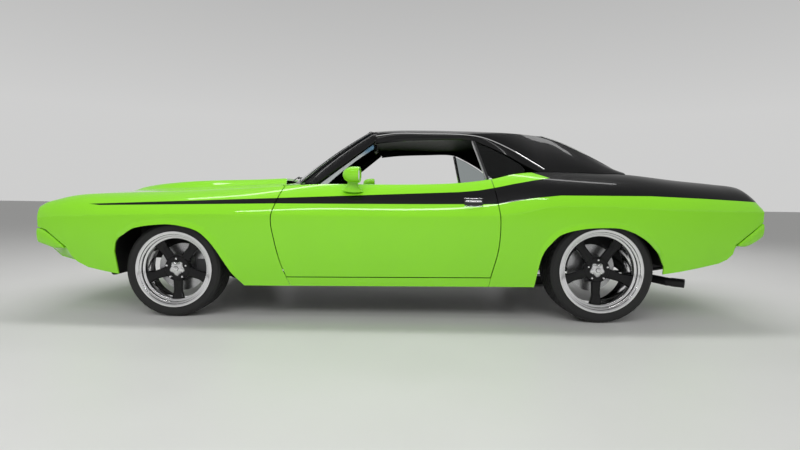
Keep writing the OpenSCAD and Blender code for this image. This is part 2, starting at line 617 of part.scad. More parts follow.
// Grille with two mouths of slats, in front of the radiator frame
grille_x = [-852, -846];
module grille() {
    color(black) {
        block(grille_x, [-770, 770], [582, 690]);
        for (k = [0:6])
            block([-866, -852], [-470, 470], [588 + 15 * k, 594 + 15 * k]);
        both() block([-872, -852], [470, 486], [582, 690]);
    }
}
lamp_y = [566, 706];
lamp_z = 634;
lamp_r = 56;
module headlamps() {
    color(chrome)
        both()
            for (y = lamp_y)
                translate(place([-852, y, lamp_z]))
                    rotate([0, -90, 0])
                        rotate_extrude()
                            polygon([[0, 0], [lamp_r, 0], [lamp_r, 18], [lamp_r - 8, 20], [lamp_r - 9, 12], [24, 18], [0, 20]]);
}

// Tail panel with blank lamps
tail_front = 3822;
bracket_y = [250, 292];
bracket_reach = bumper_t - bumper_out + 0.9;
module tail_panel() {
    color(black) {
        block([tail_front, tail_front + 16], [-790, 790], [674, 786]);
        block([tail_front, tail_front + 16], [-560, 560], [574, 676]);
        both()
            block([tail_front + 15, tail_x + bow(tail_x, bracket_y[1]) - bracket_reach], bracket_y, [613, 633]);
    }
}
module tail_lamps() {
    color(red)
        both()
            block([tail_front + 16, tail_front + 32], [90, 760], [690, 768]);
}

// Front frame: rails, crossmember, radiator frame, wheel aprons and bumper brackets
rail_y = [392, 462];
rail_z = [340, 430];
apron_x = [-740, -600, -350, 0, 300, 560];
function apron_at(x, k, in) =
    let (e = inner_y(x), z = shoulder(x)[1] + 2 - skin - seam)
    let (row = [[470, 390], [470, 610], [e - 40, z - 40], [e + 4, z], [e + 26, z]][k])
    place([x, row[0] - in * (k < 3 ? 8 : 0), row[1] - in * (k < 2 ? 0 : 8)]);
tie_x = [-840, -806];
function tie_at(x, u, in) =
    let (y = u * 690)
    place([x + bow(x, y), y, in == 1 ? 690 : hood_z(x, y) - skin - seam * 4]);
module front_frame() {
    color(black) {
        both() {
            block([-580, 640], rail_y, rail_z);
            block([-772, -570], rail_y, [402, 440]);
            block([-822, -760], rail_y, [438, 560]);
            block([nose_x + bow(nose_x, bracket_y[1]) + bracket_reach, -840], bracket_y, [515, 535]);
            grid_solid([for (x = apron_x) [for (k = [0:4]) apron_at(x, k, 0)]],
                [for (x = apron_x) [for (k = [0:4]) apron_at(x, k, 1)]]);
        }
        block([-846, -820], [-700, 700], [480, 700]);
        block([-846, -838], [-780, 780], [474, 700]);
        block([-120, 120], [-462, 462], [230, 345]);
        grid_solid([for (x = tie_x) [for (u = nose_u) tie_at(x, u, 0)]], [for (x = tie_x) [for (u = nose_u) tie_at(x, u, 1)]]);
    }
}

// Cowl: firewall box, top panel, windshield pillars, hinge posts and hinge pins
cowl_w = 700;
cowl_u = concat([1], screen_u * base_corner[1] / cowl_w, [-1]);
cowl_gap = 9;
function cowl_at(u, k, in) =
    let (y = u * cowl_w, x = blend(hood_end(y) + cowl_gap, base_x(y) + 8, k))
    place([x, y, cowl_z(x, y) - in * 10]);
// Windshield pillar: corners at the foot and at the top
pillar_foot = [[794, 646, 878], [886, 706, 872], [900, 664, 872], [806, 606, 878]];
pillar_top = [[1280, 553, 1232], [1296, 594, 1198], [1294, 564, 1184], [1276, 530, 1212]];
module cowl() {
    color(black) {
        difference() {
            block([640, 800], [-570, 570], [300, 856]);
            block([630, 810], [-150, 150], [290, 470]);
        }
        block([700, 800], [-570, 570], [850, 879]);
        grid_solid([for (k = [0, 0.5, 1]) [for (u = cowl_u) cowl_at(u, k, 0)]],
            [for (k = [0, 0.5, 1]) [for (u = cowl_u) cowl_at(u, k, 1)]]);
        both() {
            ring_solid([for (v = [0, 1]) [for (k = [0:3]) place(blend(pillar_foot[k], pillar_top[k], v))]]);
            block([690, 800], [620, 700], [840, 872]);
            block([790, 905], [645, 704], [846, 873]);
            block([690, hinge_x + 9.5], [642, 700], [250, 850]);
            block([640, 700], [560, 700], [300, 560]);
            across([fx(hood_pivot[0]), fz(hood_pivot[1])], fy(565), fy(lid_pivot_y[1]) + 2, pin_r);
            for (z = hinge_z) {
                translate([hinge_place()[0], hinge_place()[1], fz(z[0]) - 14])
                    cylinder(h = fz(z[1]) - fz(z[0]) + 28, r = pin_r);
                for (e = [fz(z[0]) - 14, fz(z[1]) + 2])
                    translate([hinge_place()[0], hinge_place()[1], e]) {
                        cylinder(h = 12, r = pin_r + 6);
                        translate([-12, fy(690) - fy(hinge_y), 0]) cube([24, fy(hinge_y) - fy(690), 12]);
                    }
            }
        }
    }
}

// Floor with tunnel, seat step, trunk floor, rear rails and cross panels
floor_z = [246, 256];
floor_w = 834.1;
tunnel_w = 170;
pan_z = [410, 420];
module floor_pan() {
    color(black) {
        difference() {
            union() {
                block([800, 2050], [-floor_w, floor_w], floor_z);
                block([2040, 2130], [-825, 825], floor_z);
                block([640, 800], [-560, 560], [290, 300]);
                block([790, 806], [-560, 560], [246, 300]);
                block([800, 2130], [-tunnel_w, tunnel_w], [250, pan_z[1]]);
                block([2112, 2130], [-825, 825], [246, pan_z[1]]);
            }
            block([630, 2140], [-150, 150], [240, pan_z[0] - 2]);
        }
        block([2112, 2500], [-500, 500], pan_z);
        block([2480, 2500], [-500, 500], [pan_z[0], 500]);
        block([2480, 3660], [-500, 500], [490, 500]);
        block([2640, 2660], [-500, 500], [490, 925]);
        block([3644, 3660], [-500, 500], [490, 640]);
        both() {
            block([2480, 3600], [440, 500], [400, 492]);
            block([2260, 2490], [440, 500], [345, 412]);
            block([2650, 3660], [492, 500], [490, 640]);
            block([2236, 2276], [490, 575], [340 + seam, pan_z[1]]);
            block([3530, 3566], [490, 575], [366 + seam, 500]);
            block([3650, tail_front], [400, 440], [580, 640]);
        }
    }
}

// Inside: dashboard with column, seats
module dashboard() {
    color(trim) {
        prism([[800, 866], [800, 640], [900, 600], [985, 640], [1000, 760], [960, 850], [880, 868]], [-640, 640]);
        rod(column_foot, column_top, 24);
    }
}
column_y = -370;
column_tilt = 24;
wheel_hub = place([1150, column_y, 790]);
column_axis = [cos(column_tilt), 0, sin(column_tilt)];
column_top = wheel_hub - column_axis * 20.3;
column_foot = wheel_hub - column_axis * 240;
module steering_wheel() {
    color(trim)
        translate(wheel_hub)
            rotate([0, 90 - column_tilt, 0]) {
                rotate_extrude() translate([steering_r - 14, 30]) circle(r = 14, $fn = 24);
                translate([0, 0, -20]) cylinder(h = 44, r = 38);
                for (a = [0, 120, 240])
                    rotate([0, 0, a]) translate([30, -14, 4]) cube([steering_r - 50, 28, 14]);
                for (a = [0, 120, 240])
                    rotate([0, 0, a]) translate([steering_r - 36, -14, 4]) cube([24, 28, 30]);
            }
}
module front_seats() {
    color(trim)
        both()
            prism([[1250, 256], [1250, 420], [1320, 452], [1700, 400], [1860, 980], [1960, 1010], [1990, 960],
                [1850, 380], [1820, 256]], [180, 640]);
}
module rear_seat() {
    color(trim)
        prism([[2090, 420], [2090, 470], [2130, 496], [2430, 455], [2560, 890], [2640, 905], [2640, 500 + seam], [2480, 500 + seam],
            [2480, 420]], [-545, 545]);
}

// Engine as one plain block with its gearbox, and the shaft behind it
module engine() {
    color(steel) {
        translate([fx(-340), 0, 0])
            rotate([90, 0, 90])
                linear_extrude(height = fx(420) - fx(-340))
                    polygon([for (p = [[-140, 345], [140, 345], [170, 430], [330, 620], [250, 720], [120, 760], [-120, 760],
                        [-250, 720], [-330, 620], [-170, 430]]) [fy(p[0]), fz(p[1])]]);
        rod(place([410, 0, 440]), place([626, 0, 430]), 130);
        rod(place([600, 0, 334]), place([1150, 0, 334]), 64);
        translate(place([0, 0, 755])) cylinder(h = 80, r = 190);
    }
}
shaft_r = 40;
module driveshaft() {
    color(steel)
        rod(place([1150, 0, 334]) + [seam + 0.5, 0, 0], [rear_x - 190, 0, rear_tyre_r], shaft_r);
}

// Rear axle with its housing and brake flanges
module rear_axle() {
    tip = rear_track / 2 + 40;
    color(steel) {
        across([rear_x, rear_tyre_r], -rear_hub_in, rear_hub_in, 40);
        translate([rear_x, 0, rear_tyre_r]) sphere(r = 130);
        rod([rear_x - 189, 0, rear_tyre_r], [rear_x, 0, rear_tyre_r], 60);
        both() {
            across([rear_x, rear_tyre_r], 0, tip, rear_spindle_r);
            across([rear_x, rear_tyre_r], rear_hub_in - 10, rear_hub_in, 90);
        }
    }
}
leaf_top = rear_tyre_r - 40 - seam;
leaf_t = 10;
leaf_line = [[2250, 340], [2450, 322], [3200, 304], [3560, 366]];
module leaf_springs() {
    top = [for (p = leaf_line) [fx(p[0]), fz(p[1])]];
    line = [top[0], top[1], [rear_x - 60, leaf_top], [rear_x + 60, leaf_top], top[2], top[3]];
    low = [for (k = [5:-1:0]) line[k] - [0, leaf_t]];
    color(black)
        both()
            translate([0, fy(570), 0])
                rotate([90, 0, 0])
                    linear_extrude(height = fy(570) - fy(515))
                        polygon(concat(line, low));
}

// Twin exhaust with mufflers and turned-down tips
muffler_r = 60;
tip_bore = 24;
tip_r = pipe_r + 2;
tail_end = place([3420, 740, 246]);
tail_bend = place([3330, 680, 250]);
module tail_tip() {
    d = tail_end - tail_bend;
    translate(tail_end)
        rotate([0, acos(d[2] / norm(d)), atan2(d[1], d[0])])
            rotate_extrude()
                polygon([[tip_bore, -0.75 * norm(d)], [tip_r, -0.75 * norm(d)], [tip_r, 0], [tip_bore, 0]]);
}
module exhaust() {
    color(steel)
        both()
            union() {
                pipe([place([150, 300, 420]), place([420, 250, 200]), place([1250, 230, 176])], pipe_r);
                rod(place([1240, 230, 176]), place([1820, 230, 176]), muffler_r);
                block([1500, 1530], [220, 240], [200, floor_z[0] - seam]);
                pipe([place([1810, 230, 176]), place([2450, 300, 200]), place([2620, 360, 420]),
                    place([3000, 380, 420]), place([3180, 420, 268]), tail_bend, blend(tail_end, tail_bend, 0.7)],
                    pipe_r);
                tail_tip();
            }
}
module fuel_tank() {
    color(steel)
        block([3080, 3560], [-330, 330], [300, 490]);
}

// Front suspension: arms between the crossmember and the knuckles
king_y = front_track / 2 - 98;
king_low = front_tyre_r - 125;
king_high = front_tyre_r + 115;
king_r = 14;
bush_r = 16;
module front_suspension() {
    color(black)
        both()
            for (z = [[king_low, 275], [king_high, 372]])
                difference() {
                    union() {
                        translate([front_x, king_y, z[0] - 14]) cylinder(h = 28, r = 27);
                        for (s = [-1, 1]) {
                            rod([front_x, king_y - 8, z[0]], [front_x + s * 130, fy(rail_y[1]) + bush_r + seam, fz(z[1])], 11);
                            translate([front_x + s * 130 - 20, fy(rail_y[1]) + bush_r + seam, fz(z[1])])
                                rotate([0, 90, 0])
                                    cylinder(h = 40, r = bush_r);
                        }
                    }
                    translate([front_x, king_y, z[0] - 40]) cylinder(h = 80, r = king_r + running);
                }
}

// Knuckle, right side: king pins, upright, spindle and caliper
front_hub_in = front_track / 2 - 66;
rear_hub_in = rear_track / 2 - 90;
hub_face = 12;
module knuckle() {
    spindle_end = front_track / 2 + 40;
    translate([front_x, king_y, king_low - 16]) cylinder(h = king_high - king_low + 32, r = king_r);
    translate([front_x - 30, king_y - 15, king_low + 26]) cube([60, 33, king_high - king_low - 52]);
    across([front_x, front_tyre_r], king_y, spindle_end, spindle_r);
    translate([front_x + 20, king_y - 12, front_tyre_r - 20]) cube([140, 18, 40]);
    difference() {
        translate([front_x + 95, king_y - 12, front_tyre_r - 55]) cube([80, 72, 110]);
        across([front_x, front_tyre_r], front_hub_in - 3, front_hub_in + 27, disc_r + 6);
    }
}
module right_knuckle() color(steel) knuckle();
module left_knuckle() color(steel) mirror([0, 1, 0]) knuckle();

// Tyre about its own axis: tread outside, bead seats at the rim
bead = 16;
module tyre_ring(r, w, rim) {
    h = w / 2;
    rotate_extrude($fn = 56)
        polygon([[rim - bead, -h + 14], [rim + 6, -h + 6], [(r + rim) / 2, -h], [r - 16, -h + 8], [r - 4, -h + 24], [r, -h + 40],
            [r, h - 40], [r - 4, h - 24], [r - 16, h - 8], [(r + rim) / 2, h], [rim + 6, h - 6], [rim - bead, h - 14]]);
}
// Wheel about its own axis, outer face up: barrel with a stepped lip, spokes, hub and brake disc
module wheel_shape(rim, w, hub_at, bore, disc_at) {
    h = w / 2 - 13;
    b = rim - bead - seam;
    rotate_extrude($fn = 64)
        polygon([[b, -h], [b, h], [b - 14, h], [b - 18, h - 22], [b - 32, h - 26], [b - 36, h - 60], [b - 22, h - 90], [b - 18, -h + 8],
            [b - 10, -h]]);
    difference() {
        union() {
            translate([0, 0, hub_at]) cylinder(h = 34, r = 74);
            translate([0, 0, hub_at + 33]) cylinder(h = 22, r1 = 42, r2 = 34);
            for (k = [0:spokes - 1])
                rotate([0, 0, 360 * k / spokes]) {
                    translate([50, -27, hub_at + 7]) cube([b - 90, 54, 25]);
                    translate([b - 62, -33, hub_at + 6]) cube([39, 66, 31]);
                }
            translate([0, 0, disc_at + 20]) cylinder(h = hub_at - disc_at - 19, r = 76);
            translate([0, 0, disc_at]) cylinder(h = 24, r = disc_r);
        }
        translate([0, 0, disc_at - 1]) cylinder(h = hub_at + 34 - disc_at, r = bore + running);
    }
}
module wheel_place(x, track, r, right) {
    translate([x, (right ? 1 : -1) * track / 2, r])
        rotate([right ? -90 : 90, 0, 0])
            children();
}
module front_wheel() wheel_shape(front_rim_r, front_tyre_w, 20, spindle_r, front_hub_in - front_track / 2);
module rear_wheel() wheel_shape(rear_rim_r, rear_tyre_w, 22, rear_spindle_r, rear_hub_in - rear_track / 2 + 1);
module front_tyre() tyre_ring(front_tyre_r, front_tyre_w, front_rim_r);
module rear_tyre() tyre_ring(rear_tyre_r, rear_tyre_w, rear_rim_r);
module front_left_tyre() color(rubber) wheel_place(front_x, front_track, front_tyre_r, false) front_tyre();
module front_right_tyre() color(rubber) wheel_place(front_x, front_track, front_tyre_r, true) front_tyre();
module front_left_wheel() color(chrome) wheel_place(front_x, front_track, front_tyre_r, false) front_wheel();
module front_right_wheel() color(chrome) wheel_place(front_x, front_track, front_tyre_r, true) front_wheel();
module rear_left_tyre() color(rubber) wheel_place(rear_x, rear_track, rear_tyre_r, false) rear_tyre();
module rear_right_tyre() color(rubber) wheel_place(rear_x, rear_track, rear_tyre_r, true) rear_tyre();
module rear_left_wheel() color(chrome) wheel_place(rear_x, rear_track, rear_tyre_r, false) rear_wheel();
module rear_right_wheel() color(chrome) wheel_place(rear_x, rear_track, rear_tyre_r, true) rear_wheel();

floor_pan();
front_frame();
cowl();
left_fender();
right_fender();
nose_panel();
front_valance();
front_bumper();
grille();
headlamps();
left_rocker();
right_rocker();
left_quarter();
right_quarter();
roof();
windshield();
rear_window();
quarter_glass();
rear_shelf();
tail_panel();
rear_valance();
rear_bumper();
tail_lamps();
dashboard();
front_seats();
rear_seat();
engine();
driveshaft();
rear_axle();
leaf_springs();
exhaust();
fuel_tank();
front_suspension();
hood();
deck_lid();
left_door();
right_door();
left_knuckle();
right_knuckle();
steering_wheel();
front_left_tyre();
front_left_wheel();
front_right_tyre();
front_right_wheel();
rear_left_tyre();
rear_left_wheel();
rear_right_tyre();
rear_right_wheel();
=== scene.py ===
"""Looks of a two-door hardtop car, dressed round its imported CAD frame."""
import json
import logging
import math
from dataclasses import dataclass
from enum import Enum
from typing import Any, Optional, Sequence, Union

import bpy
import numpy as np
from mathutils import Matrix, Vector


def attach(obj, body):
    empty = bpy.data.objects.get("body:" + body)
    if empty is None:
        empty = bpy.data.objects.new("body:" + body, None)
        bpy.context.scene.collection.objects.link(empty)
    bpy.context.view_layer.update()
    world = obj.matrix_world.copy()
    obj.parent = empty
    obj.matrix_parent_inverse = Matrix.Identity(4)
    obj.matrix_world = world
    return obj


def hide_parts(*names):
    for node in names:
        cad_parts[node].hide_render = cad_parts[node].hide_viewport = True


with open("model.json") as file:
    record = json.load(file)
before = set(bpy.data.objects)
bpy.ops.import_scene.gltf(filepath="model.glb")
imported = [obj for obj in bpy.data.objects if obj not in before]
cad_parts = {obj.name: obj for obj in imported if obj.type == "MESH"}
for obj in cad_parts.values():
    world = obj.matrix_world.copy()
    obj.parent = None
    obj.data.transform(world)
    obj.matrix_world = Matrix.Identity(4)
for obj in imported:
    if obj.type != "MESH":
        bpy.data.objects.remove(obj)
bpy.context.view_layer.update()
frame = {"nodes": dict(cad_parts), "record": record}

log = logging.getLogger("hardtop")
Array = np.ndarray
Number = Union[float, Array]
Faces = list[list[int]]
Colour = tuple[float, float, float]

# The frame's origin as a drawn place behind the front axle, and a millimetre in metres
AXLE_X = 1470.0
MM = 0.001
ROOT = "car_body"
FORE = np.array([-1.0, 0.0, 0.0])
UP = np.array([0.0, 0.0, 1.0])


class Side(Enum):
    """The two sides of the car."""

    LEFT = -1
    RIGHT = 1


# Shape helpers

def place(x: Number, y: Number, z: Number) -> Array:
    """Drawn places in millimetres from the front axle, as frame points in metres."""
    x, y, z = np.broadcast_arrays(x, y, z)
    return np.stack([x - AXLE_X, y, z], axis=-1) * MM


def blend(a: Number, b: Number, t: Number) -> Number:
    """Straight mix of a and b by share t."""
    return a + (b - a) * t


def ease(t: Number) -> Number:
    """Smooth step from 0 to 1, three squares less two cubes."""
    u = np.clip(t, 0.0, 1.0)
    return u * u * (3 - 2 * u)


def refine(stops: Sequence[float], parts: int) -> Array:
    """Each stretch between two stops cut into equal parts.

    Args:
        stops: the places to keep.
        parts: how many pieces each stretch becomes.

    Returns:
        The stops with the new places between them.
    """
    stops = np.asarray(stops, float)
    inner = stops[:-1, None] + np.diff(stops)[:, None] * np.arange(parts) / parts
    return np.append(inner.ravel(), stops[-1])


class Curve:
    """Smooth curve through the rows of a table: cubic pieces with the grade of each row's two neighbours."""

    def __init__(self, rows: Sequence[Sequence[float]]) -> None:
        """Keeps the rows and works out each column's grades.

        Args:
            rows: place and values, in the order of the places.
        """
        self.rows = np.array(rows, float)
        low = np.maximum(np.arange(len(rows)) - 1, 0)
        high = np.minimum(np.arange(len(rows)) + 1, len(rows) - 1)
        self.grade = (self.rows[high] - self.rows[low]) / (self.rows[high, :1] - self.rows[low, :1])

    def __call__(self, x: Number, column: int = 1) -> Array:
        """Value of a column at x.

        Args:
            x: the place or places.
            column: which column to read.

        Returns:
            The curve's value at each place.
        """
        at = self.rows[:, 0]
        i = np.clip(np.searchsorted(at, x, side="right") - 1, 0, len(at) - 2)
        h = at[i + 1] - at[i]
        u = np.clip((x - at[i]) / h, 0.0, 1.0)
        a, b = self.rows[i, column], self.rows[i + 1, column]
        m, n = self.grade[i, column] * h, self.grade[i + 1, column] * h
        v, w = u * u, u * u * u
        return (2 * w - 3 * v + 1) * a + (w - 2 * v + u) * m + (3 * v - 2 * w) * b + (w - v) * n


def straight(rows: Sequence[Sequence[float]], x: Number) -> Array:
    """Straight pieces through a table of place and value."""
    table = np.array(rows, float)
    return np.interp(x, table[:, 0], table[:, 1])


# Mesh helpers

@dataclass
class Part:
    """Points and faces of one closed shape, with the finish of each face."""

    points: Array
    faces: Faces
    finish: list[int]

    def mirrored(self, side: Side) -> "Part":
        """The part on the given side, drawn for the right.

        Args:
            side: the side where the part goes.

        Returns:
            The part itself, or its mirror image on the left.
        """
        if side is Side.RIGHT:
            return self
        return Part(self.points * [1, -1, 1], [f[::-1] for f in self.faces], self.finish)


def cells(n: int, m: int, wrap_n: bool = False, wrap_m: bool = False) -> Array:
    """Quads of an n by m grid of points, counted row by row, closed round an axis where asked.

    Args:
        n: rows of points.
        m: points in a row.
        wrap_n: whether the last row joins the first.
        wrap_m: whether each row's end joins its start.

    Returns:
        Four point numbers for each quad.
    """
    i, j = np.meshgrid(np.arange(n if wrap_n else n - 1), np.arange(m if wrap_m else m - 1), indexing="ij")
    a, b = (i + 1) % n, (j + 1) % m
    return np.stack([i * m + j, i * m + b, a * m + b, a * m + j], -1).reshape(-1, 4)


def shell(outer: Array, inner: Array, lining: int = 1) -> Part:
    """Closed wall between two grids: skin, lining turned round, and a rim that joins their edges.

    Args:
        outer: grid of outer points.
        inner: grid of inner points.
        lining: finish of the inner faces.

    Returns:
        The wall as one part.
    """
    n, m = outer.shape[:2]
    q = n * m
    skin = cells(n, m)
    back = skin[:, ::-1] + q
    loop = np.concatenate([np.arange(n - 1) * m, (n - 1) * m + np.arange(m - 1),
                           np.arange(n - 1, 0, -1) * m + m - 1, np.arange(m - 1, 0, -1)])
    ahead = np.roll(loop, -1)
    rim = np.stack([loop, ahead, ahead + q, loop + q], 1)
    points = np.concatenate([outer.reshape(-1, 3), inner.reshape(-1, 3)])
    finish = [0] * len(skin) + [lining] * len(back) + [0] * len(rim)
    return Part(points, np.concatenate([skin, back, rim]).tolist(), finish)


def tube(rings: Array, finish: int = 0) -> Part:
    """Closed shape through rings of points, with a flat cap at each end.

    Args:
        rings: stack of closed rings, shape (n, k, 3).
        finish: finish of every face.

    Returns:
        The shape as one part.
    """
    n, k = rings.shape[:2]
    faces = cells(n, k, wrap_m=True).tolist()
    faces += [list(range(k))[::-1], [(n - 1) * k + i for i in range(k)]]
    return outward(Part(rings.reshape(-1, 3), faces, [finish] * len(faces)))


def outward(part: Part) -> Part:
    """The part with its faces turned so that its volume is positive.

    Args:
        part: a closed shape whose faces all turn the same way.

    Returns:
        The same shape, turned round where it was inside out.
    """
    p = part.points
    fans = np.array([(f[0], f[i], f[i + 1]) for f in part.faces for i in range(1, len(f) - 1)])
    a, b, c = p[fans[:, 0]], p[fans[:, 1]], p[fans[:, 2]]
    if np.einsum("ij,ij->", a, np.cross(b, c)) >= 0:
        return part
    return Part(p, [f[::-1] for f in part.faces], part.finish)


def sweep(path: Array, section: Array, up: Sequence[float] = (0, 0, 1), scale: Optional[Array] = None,
          finish: int = 0) -> Part:
    """A flat section carried along a path, turned to the path's direction.

    Args:
        path: points in metres, shape (n, 3).
        section: closed outline across the path, sideways and upward, in metres.
        up: the section's upward direction.
        scale: size of the section at each point of the path.
        finish: finish of every face.

    Returns:
        The swept bar as one part.
    """
    along = np.gradient(path, axis=0)
    along /= np.linalg.norm(along, axis=1, keepdims=True)
    across = np.cross(along, np.asarray(up, float))
    across /= np.linalg.norm(across, axis=1, keepdims=True)
    rise = np.cross(across, along)
    size = np.ones(len(path)) if scale is None else scale
    rings = path[:, None] + size[:, None, None] * (
        across[:, None] * section[None, :, :1] + rise[:, None] * section[None, :, 1:])
    return tube(rings, finish)


def oval(width: float, height: float, count: int = 16, power: float = 1.0) -> Array:
    """Closed outline whose sides follow signed powers of cosine and sine, in metres.

    Args:
        width: whole width.
        height: whole height.
        count: points round the outline.
        power: 1 for an ellipse, less for a squarer shape.

    Returns:
        The outline, one point a row.
    """
    a = np.linspace(0, 2 * np.pi, count, endpoint=False)
    c, s = np.cos(a), np.sin(a)
    return np.stack([np.sign(c) * np.abs(c) ** power * width / 2, np.sign(s) * np.abs(s) ** power * height / 2], 1)


def revolve(profile: Sequence[Sequence[float]], centre: Array, axis: Array, count: int = 96, finish: int = 0,
            turn: float = 0.0, closed: bool = True) -> Part:
    """A profile of radius and axial place turned about an axis.

    Args:
        profile: pairs of radius and place along the axis, in metres.
        centre: the axis's zero point.
        axis: unit direction of the axis.
        count: points round the axis.
        finish: finish of every face.
        turn: angle of the first point.
        closed: whether the profile is a loop; otherwise its ends are capped.

    Returns:
        The turned shape as one part.
    """
    p = np.array(profile, float)
    axis = np.asarray(axis, float)
    one = np.cross(axis, [0.0, 0.0, 1.0] if abs(axis[2]) < 0.9 else [1.0, 0.0, 0.0])
    one /= np.linalg.norm(one)
    two = np.cross(axis, one)
    a = turn + np.linspace(0, 2 * np.pi, count, endpoint=False)
    spoke = np.cos(a)[:, None] * one + np.sin(a)[:, None] * two
    rings = centre + p[:, None, :1] * spoke[None] + p[:, None, 1:] * axis
    if not closed:
        return tube(rings, finish)
    faces = cells(len(p), count, wrap_n=True, wrap_m=True).tolist()
    return outward(Part(rings.reshape(-1, 3), faces, [finish] * len(faces)))


def pillow(centre: Sequence[float], size: Sequence[float], lean: float, pleats: int = 0, depth: float = 0.006,
           square: float = 0.35, count: int = 64, finish: int = 0) -> Part:
    """Crowned pad: a ball whose sine and cosine are raised to a power, with grooves across its faces.

    Args:
        centre: middle of the pad, in metres.
        size: length, width and thickness before it leans.
        lean: turn about the car's cross axis, in degrees.
        pleats: sewn channels across the width; none where zero.
        depth: depth of a channel.
        square: power that makes the ball boxy.
        count: points round the pad.
        finish: finish of every face.

    Returns:
        The pad as one part.
    """
    def soft(v: Array) -> Array:
        """Signed power of a sine or cosine."""
        return np.sign(v) * np.abs(v) ** square

    rise = np.linspace(-np.pi / 2 * 0.985, np.pi / 2 * 0.985, count // 2)[:, None]
    round_ = np.linspace(0, 2 * np.pi, count, endpoint=False)[None]
    x = soft(np.cos(rise)) * soft(np.cos(round_))
    y = soft(np.cos(rise)) * soft(np.sin(round_))
    z = soft(np.sin(rise)) * np.ones_like(round_)
    crown = 1 - 0.28 * (x * x + y * y) / 2
    groove = np.zeros_like(x)
    if pleats:
        inside = ease((0.82 - np.abs(y)) / 0.08) * ease((0.86 - np.abs(x)) / 0.08)
        groove = inside * np.exp(-((np.abs(np.sin(np.pi * pleats * (y + 1) / 2)) / 0.24) ** 2))
    flat = np.stack([x * size[0] / 2, y * size[1] / 2, z * crown * size[2] / 2 - np.sign(z) * groove * depth], -1)
    a = math.radians(lean)
    turn = np.array([[math.cos(a), 0, -math.sin(a)], [0, 1, 0], [math.sin(a), 0, math.cos(a)]])
    return tube(flat @ turn.T + np.asarray(centre), finish)


def slab(x: Sequence[float], y: Sequence[float], z: Sequence[float], power: float = 0.16, finish: int = 0) -> Part:
    """Box with rounded edges: a squared oval carried along the car, a little smaller at its ends.

    Args:
        x: drawn front and rear, in millimetres.
        y: drawn sides.
        z: drawn bottom and top.
        power: how square the section is.
        finish: finish of every face.

    Returns:
        The box as one part.
    """
    round_ = min(6.0, (x[1] - x[0]) / 4)
    along = np.array([x[0], x[0] + round_ * 0.3, x[0] + round_, x[1] - round_, x[1] - round_ * 0.3, x[1]])
    near = 1 - 2 * round_ * np.array([0.7, 0.25, 0, 0, 0.25, 0.7]) / max(y[1] - y[0], z[1] - z[0])
    path = place(along, (y[0] + y[1]) / 2, (z[0] + z[1]) / 2)
    return sweep(path, oval((y[1] - y[0]) * MM, (z[1] - z[0]) * MM, 40, power), scale=near, finish=finish)


def smooth_path(points: Sequence[Sequence[float]], count: int = 30) -> Array:
    """Smooth line through drawn places, as frame points.

    Args:
        points: places to pass through, in millimetres.
        count: points on the line.

    Returns:
        The line.
    """
    line = Curve([(i, *p) for i, p in enumerate(points)])
    k = np.linspace(0, len(points) - 1, count)
    return place(line(k, 1), line(k, 2), line(k, 3))


def make_piece(name: str, parts: Sequence[Part], finishes: Sequence[bpy.types.Material], slot: str,
               replaces: Sequence[str] = (), sharp: float = 32.0, body: str = ROOT) -> bpy.types.Object:
    """Puts parts into one mesh object that rides on a body.

    Args:
        name: the piece's name.
        parts: the closed shapes.
        finishes: materials, in the order of the parts' finish numbers.
        slot: the record's material slot; not used.
        replaces: CAD nodes that the piece stands for.
        sharp: angle in degrees above which an edge stays sharp.
        body: the CAD body that carries the piece.

    Returns:
        The new object.
    """
    points, faces, finish, start = [], [], [], 0
    for part in parts:
        points.append(part.points)
        faces += [[i + start for i in f] for f in part.faces]
        finish += part.finish
        start += len(part.points)
    mesh = bpy.data.meshes.new(name)
    mesh.from_pydata(np.concatenate(points).tolist(), [], faces)
    mesh.polygons.foreach_set("material_index", np.array(finish, np.int32))
    for material in finishes:
        mesh.materials.append(material)
    mesh.shade_smooth()
    mesh.set_sharp_from_angle(angle=math.radians(sharp))
    mesh.update()
    piece = bpy.data.objects.new(name, mesh)
    bpy.context.scene.collection.objects.link(piece)
    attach(piece, body)
    if replaces:
        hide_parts(*replaces)
    log.info("%s: %d faces on %s", name, len(faces), body)
    return piece


# Shader helpers

class Wire:
    """A shader value that takes part in Python expressions."""

    def __init__(self, maker: "Nodes", socket: Any) -> None:
        """Keeps the tree's maker and the output socket."""
        self.maker, self.socket = maker, socket

    def _do(self, operation: str, a: Any, b: Any, clamped: bool = False) -> "Wire":
        """One Math node on two values."""
        made = self.maker.node("ShaderNodeMath", {"operation": operation, "use_clamp": clamped}, {0: a, 1: b})
        return Wire(self.maker, made.outputs[0])

    def __add__(self, other: Any) -> "Wire":
        """Sum."""
        return self._do("ADD", self, other)

    __radd__ = __add__

    def __sub__(self, other: Any) -> "Wire":
        """Difference."""
        return self._do("SUBTRACT", self, other)

    def __rsub__(self, other: Any) -> "Wire":
        """Difference the other way round."""
        return self._do("SUBTRACT", other, self)

    def __mul__(self, other: Any) -> "Wire":
        """Product."""
        return self._do("MULTIPLY", self, other)

    __rmul__ = __mul__

    def __abs__(self) -> "Wire":
        """Size without sign."""
        return self._do("ABSOLUTE", self, 0.0)

    def most(self, other: Any) -> "Wire":
        """The larger of two values."""
        return self._do("MAXIMUM", self, other)

    def over(self, edge: Any, soft: float) -> "Wire":
        """Mask that is 1 above an edge, with a ramp of the given width."""
        return ((self - edge) * (1.0 / soft))._do("ADD", (self - edge) * (1.0 / soft), 0.5, True)

    def wave(self, scale: float) -> "Wire":
        """Sine of the value times a scale."""
        return (self * scale)._do("SINE", self * scale, 0.0)


